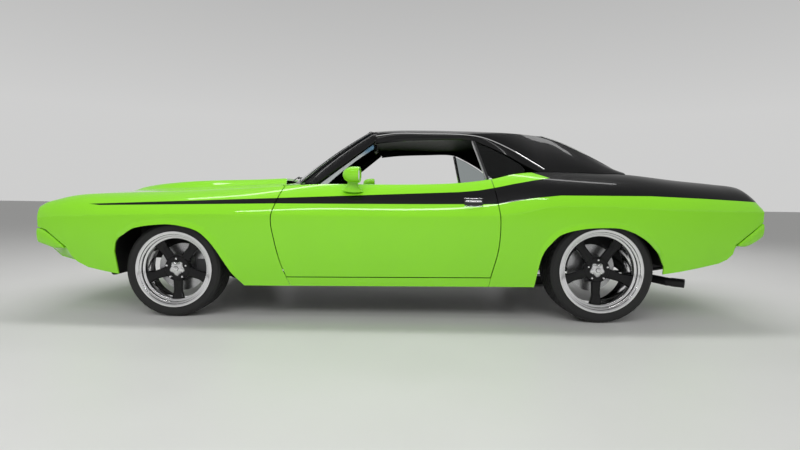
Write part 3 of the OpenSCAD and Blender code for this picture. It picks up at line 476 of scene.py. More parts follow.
class Nodes:
    """One node tree and the one way that nodes are added to it."""

    def __init__(self, tree: bpy.types.NodeTree) -> None:
        """Keeps the tree."""
        self.tree = tree

    def node(self, kind: str, settings: Optional[dict] = None, inputs: Optional[dict] = None) -> Any:
        """Adds a node.

        Args:
            kind: the node's type.
            settings: its own settings, set first.
            inputs: values or wires of its sockets.

        Returns:
            The new node.
        """
        made = self.tree.nodes.new(kind)
        for key, value in (settings or {}).items():
            setattr(made, key, value)
        for key, value in (inputs or {}).items():
            self.join(value, made.inputs[key])
        return made

    def join(self, value: Any, socket: Any) -> None:
        """Links a wire to a socket, or sets the socket's own value.

        Args:
            value: a wire, or the socket's own value.
            socket: the input socket.
        """
        if isinstance(value, Wire):
            self.tree.links.new(value.socket, socket)
        else:
            socket.default_value = value


class Maker(Nodes):
    """Builds one material's nodes."""

    def __init__(self, name: str) -> None:
        """Starts a material with its surface shader.

        Args:
            name: the material's name.
        """
        self.material = bpy.data.materials.new(name)
        self.material.use_nodes = True
        super().__init__(self.material.node_tree)
        self.tree.nodes.clear()
        self.surface = self.node("ShaderNodeBsdfPrincipled")
        out = self.node("ShaderNodeOutputMaterial")
        self.tree.links.new(self.surface.outputs[0], out.inputs[0])

    def coordinates(self) -> tuple["Wire", "Wire", "Wire", "Wire"]:
        """Object coordinates as a vector and its three parts.

        Returns:
            The vector, then x, y and z.
        """
        vector = self.node("ShaderNodeTexCoord").outputs["Object"]
        parts = self.node("ShaderNodeSeparateXYZ", None, {0: Wire(self, vector)})
        return (Wire(self, vector), *(Wire(self, parts.outputs[k]) for k in range(3)))

    def noise(self, vector: Wire, scale: float, detail: float = 3.0, rough: float = 0.55) -> Wire:
        """Cloudy pattern from 0 to 1.

        Args:
            vector: where the pattern is read.
            scale: its fineness.
            detail: its octaves.
            rough: the weight of the finer octaves.

        Returns:
            The pattern.
        """
        made = self.node("ShaderNodeTexNoise", None,
                         {"Vector": vector, "Scale": scale, "Detail": detail, "Roughness": rough})
        return Wire(self, made.outputs[0])

    def grain(self, vector: Wire, scale: float) -> Wire:
        """Cells' distance pattern, as in leather or cast skin."""
        made = self.node("ShaderNodeTexVoronoi", None, {"Vector": vector, "Scale": scale})
        return Wire(self, made.outputs["Distance"])

    def mix(self, share: Any, a: Any, b: Any) -> Wire:
        """Colour between a and b by a share.

        Args:
            share: 0 for a, 1 for b.
            a: first colour.
            b: second colour.

        Returns:
            The mixed colour.
        """
        made = self.node("ShaderNodeMix", {"data_type": "RGBA"}, {0: share})
        self.join(a if isinstance(a, Wire) else (*a, 1.0), made.inputs[6])
        self.join(b if isinstance(b, Wire) else (*b, 1.0), made.inputs[7])
        return Wire(self, made.outputs[2])

    def bump(self, height: Wire, strength: float, distance: float) -> Wire:
        """Surface relief from a height."""
        made = self.node("ShaderNodeBump", None, {"Strength": strength, "Distance": distance, "Height": height})
        return Wire(self, made.outputs[0])

    def edge(self, along: Wire, points: Sequence[Sequence[float]]) -> Wire:
        """Straight pieces through points: the first slope, and each later bend as a one-sided ramp.

        Args:
            along: the place along the car, in metres.
            points: drawn place and height, in millimetres.

        Returns:
            The height at each place, in metres.
        """
        p = (np.array(points, float) - [AXLE_X, 0]) * MM
        slopes = np.diff(p[:, 1]) / np.diff(p[:, 0])
        height = (along - float(p[0, 0])) * float(slopes[0]) + float(p[0, 1])
        for at, bend in zip(p[1:-1, 0], np.diff(slopes)):
            height = height + (along - float(at)).most(0.0) * float(bend)
        return height

    def finish(self, **sockets: Any) -> bpy.types.Material:
        """Sets the surface shader's sockets and returns the material.

        Args:
            sockets: values by the shader's socket names, in small letters.

        Returns:
            The material.
        """
        for key, value in sockets.items():
            name = key.replace("_", " ").title().replace("Ior", "IOR")
            if isinstance(value, tuple) and len(value) == 3:
                value = (*value, 1.0)
            self.join(value, self.surface.inputs[name])
        return self.material


# Finishes

@dataclass(frozen=True)
class Paint:
    """Gloss body paint under clear lacquer, with a second colour above and along the side."""

    name: str
    colour: Colour
    second: Colour
    two_tone: bool = False
    split_x: Optional[float] = None
    stripe_top: tuple = ((-560, 733), (-481, 737), (662, 788), (1539, 829), (1860, 844), (1985, 856),
                         (2100, 877), (2220, 903), (2340, 926), (2457, 945), (2600, 968))
    stripe_low: tuple = ((-560, 734), (-476, 726), (667, 753), (1539, 761), (2090, 769), (2211, 789), (2337, 812),
                         (2504, 830), (3089, 834), (3463, 822), (3876, 804), (4000, 798))
    wedge_top: tuple = ((2330, 992), (2457, 945), (2480, 936))
    rail_z: float = 0.9925
    dark_coat: float = 0.45

    def make(self) -> bpy.types.Material:
        """Builds the paint: a little unevenness in colour and gloss, and the stripe's mask from place.

        Returns:
            The material.
        """
        m = Maker(self.name)
        vector, x, _, z = m.coordinates()
        cloud = m.noise(vector, 3.0)
        fine = m.noise(vector, 900.0, 2.0)
        base = m.mix(cloud, tuple(0.97 * c for c in self.colour), tuple(1.03 * c for c in self.colour))
        coat = self.dark_coat if max(self.colour) < 0.02 else 1.0
        if self.two_tone:
            soft = 0.0012
            above = z.over(m.edge(x, self.stripe_low), soft)
            green = z.over(m.edge(x, self.stripe_top), soft) * (1 - z.over(m.edge(x, self.wedge_top), soft))
            black = above * (1 - green * (1 - z.over(self.rail_z, soft)))
            base = m.mix(black, base, self.second)
            coat = 1.0 - black * (1.0 - self.dark_coat)
        if self.split_x is not None:
            base = m.mix(x.over(self.split_x, 0.002), base, self.second)
        return m.finish(base_color=base, roughness=fine * 0.06 + 0.3, coat_weight=coat, coat_roughness=0.03,
                        specular_ior_level=0.15, normal=m.bump(cloud, 0.02, 0.0004))


@dataclass(frozen=True)
class Metal:
    """Bare or plated metal with fine brushing and a little soil."""

    name: str
    colour: Colour
    rough: float
    grain: float = 400.0
    soil: float = 0.15

    def make(self) -> bpy.types.Material:
        """Builds the metal: roughness from streaks, colour darkened in clouds.

        Returns:
            The material.
        """
        m = Maker(self.name)
        vector, *_ = m.coordinates()
        streak = m.noise(vector, self.grain, 2.0)
        cloud = m.noise(vector, 14.0)
        base = m.mix(cloud * self.soil, self.colour, tuple(0.35 * c for c in self.colour))
        return m.finish(base_color=base, metallic=1.0, roughness=streak * (0.5 * self.rough) + 0.75 * self.rough,
                        normal=m.bump(streak, 0.05, 0.0003))


@dataclass(frozen=True)
class Cast:
    """Painted, cast or plastic surface with a grain."""

    name: str
    colour: Colour
    rough: float
    grain: float = 260.0
    relief: float = 0.15
    metallic: float = 0.0

    def make(self) -> bpy.types.Material:
        """Builds the surface: grain as relief, dust as paler clouds.

        Returns:
            The material.
        """
        m = Maker(self.name)
        vector, *_ = m.coordinates()
        cloud = m.noise(vector, 9.0)
        cell = m.grain(vector, self.grain)
        base = m.mix(cloud * 0.35, self.colour, tuple(min(1.0, 1.6 * c + 0.01) for c in self.colour))
        return m.finish(base_color=base, metallic=self.metallic, roughness=cloud * 0.15 + self.rough,
                        normal=m.bump(cell, self.relief, 0.0006))


@dataclass(frozen=True)
class Rubber:
    """Tyre rubber: dull, and greyer in clouds."""

    name: str
    colour: Colour = (0.009, 0.009, 0.0095)

    def make(self) -> bpy.types.Material:
        """Builds the rubber from dust clouds and a fine grain.

        Returns:
            The material.
        """
        m = Maker(self.name)
        vector, *_ = m.coordinates()
        cloud = m.noise(vector, 22.0, 5.0)
        fine = m.noise(vector, 700.0, 2.0)
        base = m.mix(cloud * 0.6, self.colour, (0.022, 0.022, 0.0215))
        return m.finish(base_color=base, roughness=cloud * 0.2 + 0.52, normal=m.bump(fine, 0.12, 0.0005))


@dataclass(frozen=True)
class Pane:
    """Window glass, with a darker band along its top edge where asked."""

    name: str
    tint: Colour
    band: Optional[Colour] = None
    band_z: float = 1.18
    band_soft: float = 0.05

    def make(self) -> bpy.types.Material:
        """Builds clear glass whose tint follows height.

        Returns:
            The material.
        """
        m = Maker(self.name)
        vector, _, _, z = m.coordinates()
        cloud = m.noise(vector, 6.0)
        base = m.mix(cloud, self.tint, tuple(0.96 * c for c in self.tint))
        if self.band is not None:
            base = m.mix(z.over(self.band_z, self.band_soft), base, self.band)
        return m.finish(base_color=base, roughness=cloud * 0.01, transmission_weight=1.0, ior=1.45)


@dataclass(frozen=True)
class Leather:
    """Seat vinyl with a pebble grain."""

    name: str
    colour: Colour
    shine: float = 0.5

    def make(self) -> bpy.types.Material:
        """Builds the hide from two sizes of cells and worn clouds.

        Returns:
            The material.
        """
        m = Maker(self.name)
        vector, *_ = m.coordinates()
        pebble = m.grain(vector, 420.0)
        crease = m.noise(vector, 60.0, 6.0)
        base = m.mix(crease * 0.5, self.colour, tuple(1.8 * c + 0.004 for c in self.colour))
        return m.finish(base_color=base, roughness=crease * 0.2 + 0.36, specular_ior_level=self.shine,
                        normal=m.bump(pebble + crease * 0.6, 0.3, 0.0008))


@dataclass(frozen=True)
class Lens:
    """Moulded lamp lens with upright ribs."""

    name: str
    colour: Colour
    ribs: float = 900.0
    coat: float = 1.0

    def make(self) -> bpy.types.Material:
        """Builds the lens: ribs as a wave across the car.

        Returns:
            The material.
        """
        m = Maker(self.name)
        vector, _, y, z = m.coordinates()
        rib = y.wave(self.ribs) + z.wave(self.ribs * 0.6)
        base = m.mix(m.noise(vector, 12.0), self.colour, tuple(0.7 * c for c in self.colour))
        return m.finish(base_color=base, roughness=rib * 0.02 + 0.1, coat_weight=self.coat, coat_roughness=0.02,
                        normal=m.bump(rib, 0.35, 0.0015))


# Linear colours of the two paints
LIME: Colour = (0.25, 0.70, 0.016)
JET: Colour = (0.004, 0.004, 0.0045)


class Finishes:
    """The car's finishes, each made once."""

    def __init__(self) -> None:
        """Makes the materials and the finish of each record slot."""
        self.green = Paint("lime_paint", LIME, JET).make()
        self.side = Paint("lime_and_black_paint", LIME, JET, two_tone=True).make()
        self.cowl = Paint("cowl_paint", LIME, JET, split_x=-0.6738).make()
        self.black = Paint("black_paint", JET, JET).make()
        self.under = Cast("underseal", (0.012, 0.012, 0.012), 0.6, 180.0, 0.25).make()
        self.chassis = Cast("chassis_black", (0.02, 0.02, 0.021), 0.42).make()
        self.trim = Cast("trim_plastic", (0.014, 0.014, 0.015), 0.45, 380.0, 0.2).make()
        # Black vinyl lining made darker than its own colour: partly the vinyl's own black, partly painted shade
        # inside the cabin, doors, quarters and trunk.
        self.lining = Leather("lining_vinyl_with_painted_shade", (0.004, 0.004, 0.0042), 0.12).make()
        self.hide = Leather("seat_vinyl", (0.012, 0.012, 0.0125)).make()
        self.chrome = Metal("chrome", (0.86, 0.86, 0.87), 0.06, 60.0, 0.04).make()
        self.polished = Metal("polished_alloy", (0.86, 0.86, 0.87), 0.08, 300.0, 0.06).make()
        self.steel = Metal("steel", (0.5, 0.5, 0.5), 0.32, 240.0, 0.3).make()
        self.disc = Metal("brake_disc", (0.55, 0.55, 0.56), 0.28, 900.0, 0.2).make()
        self.soot = Cast("sooty_steel", (0.03, 0.03, 0.031), 0.45, 200.0, 0.2, 0.6).make()
        self.grey = Metal("grey_moulding", (0.34, 0.34, 0.35), 0.3, 200.0, 0.1).make()
        self.iron = Cast("cast_iron", (0.1, 0.1, 0.105), 0.5, 300.0, 0.4, 0.7).make()
        self.spoke = Paint("spoke_black", JET, JET, dark_coat=0.35).make()
        self.rubber = Rubber("tyre_rubber").make()
        self.glass = Pane("clear_glass", (0.86, 0.92, 0.91)).make()
        self.screen = Pane("screen_glass", (0.86, 0.92, 0.91), (0.22, 0.42, 0.6), 1.205, 0.05).make()
        self.tinted = Pane("tinted_glass", (0.42, 0.46, 0.46)).make()
        self.lamp = Lens("lamp_glass", (0.75, 0.77, 0.8), 500.0).make()
        self.red = Lens("tail_lens", (0.30, 0.003, 0.004), coat=0.2).make()
        self.by_slot = {
            "body_paint": self.green, "black_paint": self.black, "chassis_black": self.chassis, "glass": self.glass,
            "tinted_glass": self.tinted, "trim": self.trim, "seat_vinyl": self.hide, "tyre": self.rubber,
            "wheel_alloy": self.polished, "steel": self.steel, "cast_iron": self.iron, "lamp": self.lamp,
            "tail_lens": self.red}
        self.by_node = {"cowl": self.cowl, "exhaust": self.soot, "fuel_tank": self.soot}

    def dress_nodes(self) -> None:
        """Gives every CAD node the finish of its record slot."""
        for row in frame["record"]["subparts"]:
            materials = frame["nodes"][row["node"]].data.materials
            materials.clear()
            materials.append(self.by_node.get(row["node"], self.by_slot[row["material_slot"]]))


# Body shape

@dataclass
class BodyShape:
    """The body's lines, drawn in millimetres from the front axle, the middle line and the ground."""

    skin: float = 12.0
    gap: float = 6.0
    sill_z: float = 225.0
    nose_x: float = -899.0
    tail_x: float = 3867.0
    nose_bow: float = 61.0
    tail_bow: float = 33.0
    bow_reach: float = 180.0
    half_plan: float = 850.0
    lip: float = 16.0
    lip_reach: float = 34.0
    lip_power: float = 1.15
    lip_fade: float = 60.0
    wall_lean: float = 16.0
    wall_foot: float = 281.0
    wall_rise: float = 149.0
    wall_most: float = 2.6
    rail_puff: float = 36.0
    rail_end: float = 2400.0
    screen_bow: float = 64.0
    screen_top: float = 1284.0
    back_crown: float = 26.0
    hood_rear: float = 610.0
    hood_sweep: float = 65.0
    hood_half: float = 700.0

    def __post_init__(self) -> None:
        """Sets up the tables of the body's lines."""
        # x, crease y, crease z, tuck-under at the sill, shoulder y, shoulder z, fullness above the crease
        self.side = Curve([
            (-899, 850, 638, 70, 806, 712, 0.45), (-860, 861, 641, 68, 792, 738, 0.45),
            (-807, 872, 646, 66, 780, 757, 0.45), (-725, 885, 651, 62, 768, 781, 0.45),
            (-615, 899, 656, 58, 758, 797, 0.45), (-440, 918, 664, 52, 750, 806, 0.42),
            (0, 943, 674, 48, 750, 826, 0.40), (400, 955, 679, 50, 765, 849, 0.36),
            (680, 960, 681, 52, 786, 868, 0.30), (958, 963, 682, 55, 800, 884, 0.25),
            (1500, 966, 683, 58, 812, 889, 0.22), (1844, 966, 688, 58, 812, 903, 0.22),
            (2084, 966, 697, 56, 800, 934, 0.25), (2242, 965, 716, 54, 778, 971, 0.32),
            (2422, 964, 754, 52, 748, 988, 0.42), (2794, 961, 761, 50, 700, 988, 0.50),
            (3033, 953, 753, 52, 676, 982, 0.52), (3369, 929, 748, 58, 664, 947, 0.52),
            (3630, 893, 744, 66, 660, 924, 0.50), (3785, 864, 741, 74, 660, 904, 0.48),
            (3836, 852, 740, 78, 664, 866, 0.48), (3867, 843, 739, 82, 670, 815, 0.48)])
        self.front_foot = [(-899, 578), (-838, 562), (-700, 452), (-670, 395), (-628, 354), (-558, 320), (-461, 300),
                           (-352, 281)]
        self.front_arch = Curve([(-350, 430), (-330, 498), (-282, 549), (-215, 586), (-30, 611), (80, 603),
                                 (189, 571),
                                 (250, 520), (297, 462), (381, 329), (452, 221)])
        self.rear_arch = Curve([(2351, 246), (2385, 435), (2444, 529), (2506, 583), (2633, 617), (2763, 628),
                                (2893, 621), (3027, 564), (3127, 473), (3184, 381)])
        self.rear_foot = [(3188, 330), (3310, 349), (3444, 376), (3564, 402), (3622, 428), (3660, 464), (3672, 524),
                          (3867, 674)]
        self.sill_edge = [(452, 220), (2351, 236)]
        self.front_edge = Curve([(215, 780), (300, 740), (386, 708), (518, 675), (655, 654), (790, 684), (875, 712)])
        self.rear_edge = Curve([(230, 2052), (311, 2069), (479, 2108), (646, 2116), (776, 2102), (868, 2089),
                                (940, 2076)])
        self.door_foot = [(740, 284), (2060, 297)]
        self.flange = Curve([(-899, 60), (560, 70), (690, 30), (2400, 30), (2440, 14), (3000, 14), (3060, 70),
                             (3867, 70)])
        # x, crown over the edge, height of the raised middle, half width of the raised middle
        self.hood_rise = Curve([(-899, 10, 0, 190), (-640, 24, 0, 210), (-515, 30, 27, 240), (-327, 36, 43, 290),
                                (-27, 38, 54, 330), (460, 40, 43, 370), (680, 40, 40, 380)])
        # x, edge y, edge z, middle z
        self.roof_line = Curve([(1222, 540, 1262, 1286), (1441, 592, 1257, 1307), (1650, 597, 1255, 1312),
                                (1872, 597, 1254, 1311), (2040, 585, 1262, 1306), (2240, 555, 1268, 1297),
                                (2480, 505, 1256, 1274)])
        self.rail_low = Curve([(1300, 603, 1182), (1441, 601, 1194), (1700, 600, 1206), (1965, 602, 1208),
                               (2083, 630, 1165), (2210, 673, 1102), (2305, 713, 1042), (2400, 751, 990)])
        self.back_edge = Curve([(2480, 505, 1256), (2613, 521, 1211), (2819, 548, 1111), (3018, 566, 1001)])
        self.roof_rear, self.back_end = 2480.0, 3018.0
        self.base_mid_x, self.base_corner = 655.0, (783.0, 640.0)
        self.top_mid_x, self.top_corner = 1216.0, (1276.0, 545.0)

    def bow(self, x: Number, y: Number) -> Array:
        """Shift of the nose and tail in plan: most in the middle, none at the sides.

        Args:
            x: places along the car.
            y: places across the car.

        Returns:
            The shift along the car.
        """
        b = 1 - np.clip(np.abs(y) / self.half_plan, 0, 1) ** 2
        return (self.tail_bow * b * ease((x - self.tail_x + self.bow_reach) / self.bow_reach)
                - self.nose_bow * b * ease((self.nose_x + self.bow_reach - x) / self.bow_reach))

    def lower_y(self, x: Number, z: Number) -> Array:
        """Outboard place below the crease: tucked under by a mix of a power and a line."""
        s = np.clip((z - self.sill_z) / (self.side(x, 2) - self.sill_z), 0, 1)
        return self.side(x, 1) - self.side(x, 3) * (0.65 * (1 - s) ** 2.2 + 0.35 * (1 - s))

    def upper(self, x: Number, s: Number) -> tuple[Array, Array]:
        """Outboard place and height above the crease: a curve of three control points.

        Args:
            x: places along the car.
            s: share of the way from the crease to the shoulder.

        Returns:
            Outboard place and height.
        """
        cy, cz, ey, ez, full = (self.side(x, k) for k in (1, 2, 4, 5, 6))
        ky, kz = blend((cy + ey) / 2, cy, full), blend((cz + ez) / 2, ez, full)
        a, b, c = (1 - s) ** 2, 2 * s * (1 - s), s * s
        return a * cy + b * ky + c * ey, a * cz + b * kz + c * ez

    def inner_y(self, x: Number) -> Array:
        """Inner edge of the shoulder's flange."""
        return self.side(x, 4) - self.flange(x)

    def side_pt(self, x: Number, foot: Number, t: Number) -> tuple[Array, Array]:
        """Row t of the side: 0 lower edge, 1 crease, 2 shoulder, 3 inner edge of the flange.

        Args:
            x: places along the car.
            foot: height of the panel's lower edge at x.
            t: rows of the side.

        Returns:
            Outboard place and height.
        """
        z0 = blend(foot, self.side(x, 2), np.clip(t, 0, 1))
        uy, uz = self.upper(x, np.clip(t - 1, 0, 1))
        f = np.clip(t - 2, 0, 1)
        y = np.where(t <= 1, self.lower_y(x, z0), uy - f * self.flange(x))
        return y, np.where(t <= 1, z0, uz + 2 * f)

    def tilt(self, x: Number, t: Number) -> Array:
        """Lean of the side's normal at row t, from level to straight up.

        Args:
            x: places along the car.
            t: rows of the side.

        Returns:
            The lean in radians.
        """
        s = np.clip(t - 1, 0, 1)
        ay, az = self.upper(x, np.maximum(s - 0.05, 0))
        by, bz = self.upper(x, np.minimum(s + 0.05, 1))
        lean = np.arctan2(ay - by, bz - az)
        lean = np.where(t < 1, 0.0, np.where(t == 1, lean / 2, lean))
        return np.where(t > 2, np.pi / 2, np.where(t == 2, (lean + np.pi / 2) / 2, lean))

    def flare(self, arch: Curve, x: Number, foot: Number, t: Number) -> Array:
        """Outboard roll of a wheel arch's lip: a ramp over the distance from the arch's line.

        Args:
            arch: height of the arch's edge over x.
            x: places along the car.
            foot: height of the panel's lower edge at x.
            t: rows of the side.

        Returns:
            How far each point moves out.
        """
        z = np.asarray(self.side_pt(x, foot, t)[1])
        line_x = np.linspace(arch.rows[0, 0], arch.rows[-1, 0], 160)
        line_z = arch(line_x)
        gap = np.hypot((x + 0 * z)[..., None] - line_x, z[..., None] - line_z).min(-1)
        fade = ease((x - arch.rows[0, 0]) / self.lip_fade) * ease((arch.rows[-1, 0] - x) / self.lip_fade)
        return self.lip * np.clip(1 - gap / self.lip_reach, 0, 1) ** self.lip_power * fade

    def side_at(self, x: Number, foot: Number, t: Number, depth: Number, flare: Number = 0.0) -> Array:
        """Points of a side panel, set in along the normal and moved out by a flare.

        Args:
            x: places along the car.
            foot: height of the panel's lower edge at x.
            t: rows of the side.
            depth: how far the points are set in.
            flare: how far the points are moved out.

        Returns:
            The frame points.
        """
        y, z = self.side_pt(x, foot, t)
        a = self.tilt(x, t)
        y = y + flare - depth * np.cos(a)
        z = z - depth * np.sin(a)
        return place(x + self.bow(x, y), y, z)

    def deck_z(self, x: Number, y: Number, crown: Number) -> Array:
        """Height of a lid between the flanges: a parabola over the shoulder."""
        v = np.clip(np.abs(y) / self.inner_y(x), 0, 1)
        return self.side(x, 5) + 2 + crown * (1 - v * v)

    def cowl_z(self, x: Number, y: Number) -> Array:
        """Height of the cowl's top panel."""
        return self.deck_z(x, y, self.hood_rise(x, 1))

    def hood_z(self, x: Number, y: Number) -> Array:
        """Height of the hood: the cowl's crown and the raised middle."""
        step = ease((self.hood_rise(x, 3) + 45 - np.abs(y)) / 90)
        return self.cowl_z(x, y) + self.hood_rise(x, 2) * step

    def rail_top(self, x: Number) -> tuple[Array, Array]:
        """Upper edge of the roof rail and rear pillar.

        Args:
            x: places along the car.

        Returns:
            Outboard place and height.
        """
        front = x <= self.roof_rear
        return (np.where(front, self.roof_line(x, 1), self.back_edge(x, 1)) + 0.6,
                np.where(front, self.roof_line(x, 2), self.back_edge(x, 2)) - 0.3)

    def rail_bottom(self, x: Number) -> tuple[Array, Array]:
        """Lower edge of the roof rail and rear pillar.

        Args:
            x: places along the car.

        Returns:
            Outboard place and height.
        """
        front = x <= self.rail_end
        return (np.where(front, self.rail_low(x, 1), self.side(x, 4) - 1),
                np.where(front, self.rail_low(x, 2), self.side(x, 5) + 2.3))

    def rail_at(self, x: Number, v: Number, depth: Number = 0.0) -> Array:
        """Points of the rail: a line between its edges, puffed out by a parabola, set in by a depth.

        Args:
            x: places along the car.
            v: share of the way up the rail.
            depth: how far the points are set in.

        Returns:
            The frame points.
        """
        (ay, az), (by, bz) = self.rail_bottom(x), self.rail_top(x)
        length = np.hypot(by - ay, bz - az)
        ny, nz = (bz - az) / length, -(by - ay) / length
        puff = self.rail_puff * v * (1 - v) - depth * np.clip(4 * (1 - v), 0, 1)
        y = blend(ay, by, v) + ny * puff
        z = blend(az, bz, v) + nz * puff - depth * 0.2 * np.clip(1 - 4 * (1 - v), 0, 1)
        return place(x, np.where(v > 0.6, np.maximum(y, np.minimum(by, y + depth)), y), z)

    def screen_at(self, u: Number, v: Number, depth: Number = 0.0) -> Array:
        """Windshield points from base to top edge, with a bowed face.

        Args:
            u: share across the car, from minus one to one.
            v: share of the way up.
            depth: how far the points are set in.

        Returns:
            The frame points.
        """
        y0, y1 = self.base_corner[1] * u, self.top_corner[1] * u
        x0 = self.base_x(y0)
        x1 = self.top_mid_x + (self.top_corner[0] - self.top_mid_x) * u * u - 9
        z0, z1 = self.cowl_z(x0, y0) + 1.1, self.screen_top - 24 * np.abs(u) ** 4
        lift = self.screen_bow * v * (1 - v)
        return place(blend(x0, x1, v) - lift * 0.6 + depth, blend(y0, y1, v), blend(z0, z1, v) + lift * 0.8)

    def base_x(self, y: Number) -> Array:
        """Foot of the windshield in plan."""
        return self.base_mid_x + (self.base_corner[0] - self.base_mid_x) * (y / self.base_corner[1]) ** 2

    def back_at(self, u: Number, v: Number, depth: Number = 0.0) -> Array:
        """Rear window points, crowned across the car.

        Args:
            u: share across the car, from minus one to one.
            v: share of the way back and down.
            depth: how far the points are set in.

        Returns:
            The frame points.
        """
        x = blend(self.roof_rear + 2, self.back_end, v)
        z = self.back_edge(x, 2) + self.back_crown * blend(0.7, 0.6, v) * (1 - u * u) - depth - 1
        return place(x, (self.back_edge(x, 1) + 0.3) * u, z)

    def roof_at(self, u: Number, v: Number, depth: Number = 0.0) -> Array:
        """Roof points: flat in the middle, falling to the edges by a fourth power.

        Args:
            u: share across the car, from minus one to one.
            v: share of the way back.
            depth: how far the points are set in.

        Returns:
            The frame points.
        """
        front = self.top_mid_x + (self.top_corner[0] - self.top_mid_x) * u * u
        x = blend(front, self.roof_rear, v)
        edge, middle = self.roof_line(x, 2), self.roof_line(x, 3)
        return place(x, self.roof_line(x, 1) * u, middle - (middle - edge) * np.abs(u) ** 4 - depth)

    def hood_end(self, y: Number) -> Array:
        """Rear edge of the hood in plan."""
        return self.hood_rear + self.hood_sweep * (y / self.hood_half) ** 2


# Sub-assemblies

# Rows of the side surface: 0 lower edge, 1 crease, 2 shoulder, 3 inner edge of the flange
ROWS = np.unique(np.concatenate([np.linspace(0, 0.3, 9), np.linspace(0.3, 0.9, 13),
                                 [0.93, 0.96, 0.98, 1.0, 1.02, 1.05],
                                 np.linspace(1.1, 1.9, 17), [1.94, 1.97, 2.0, 2.03, 2.1, 2.5, 3.0]]))


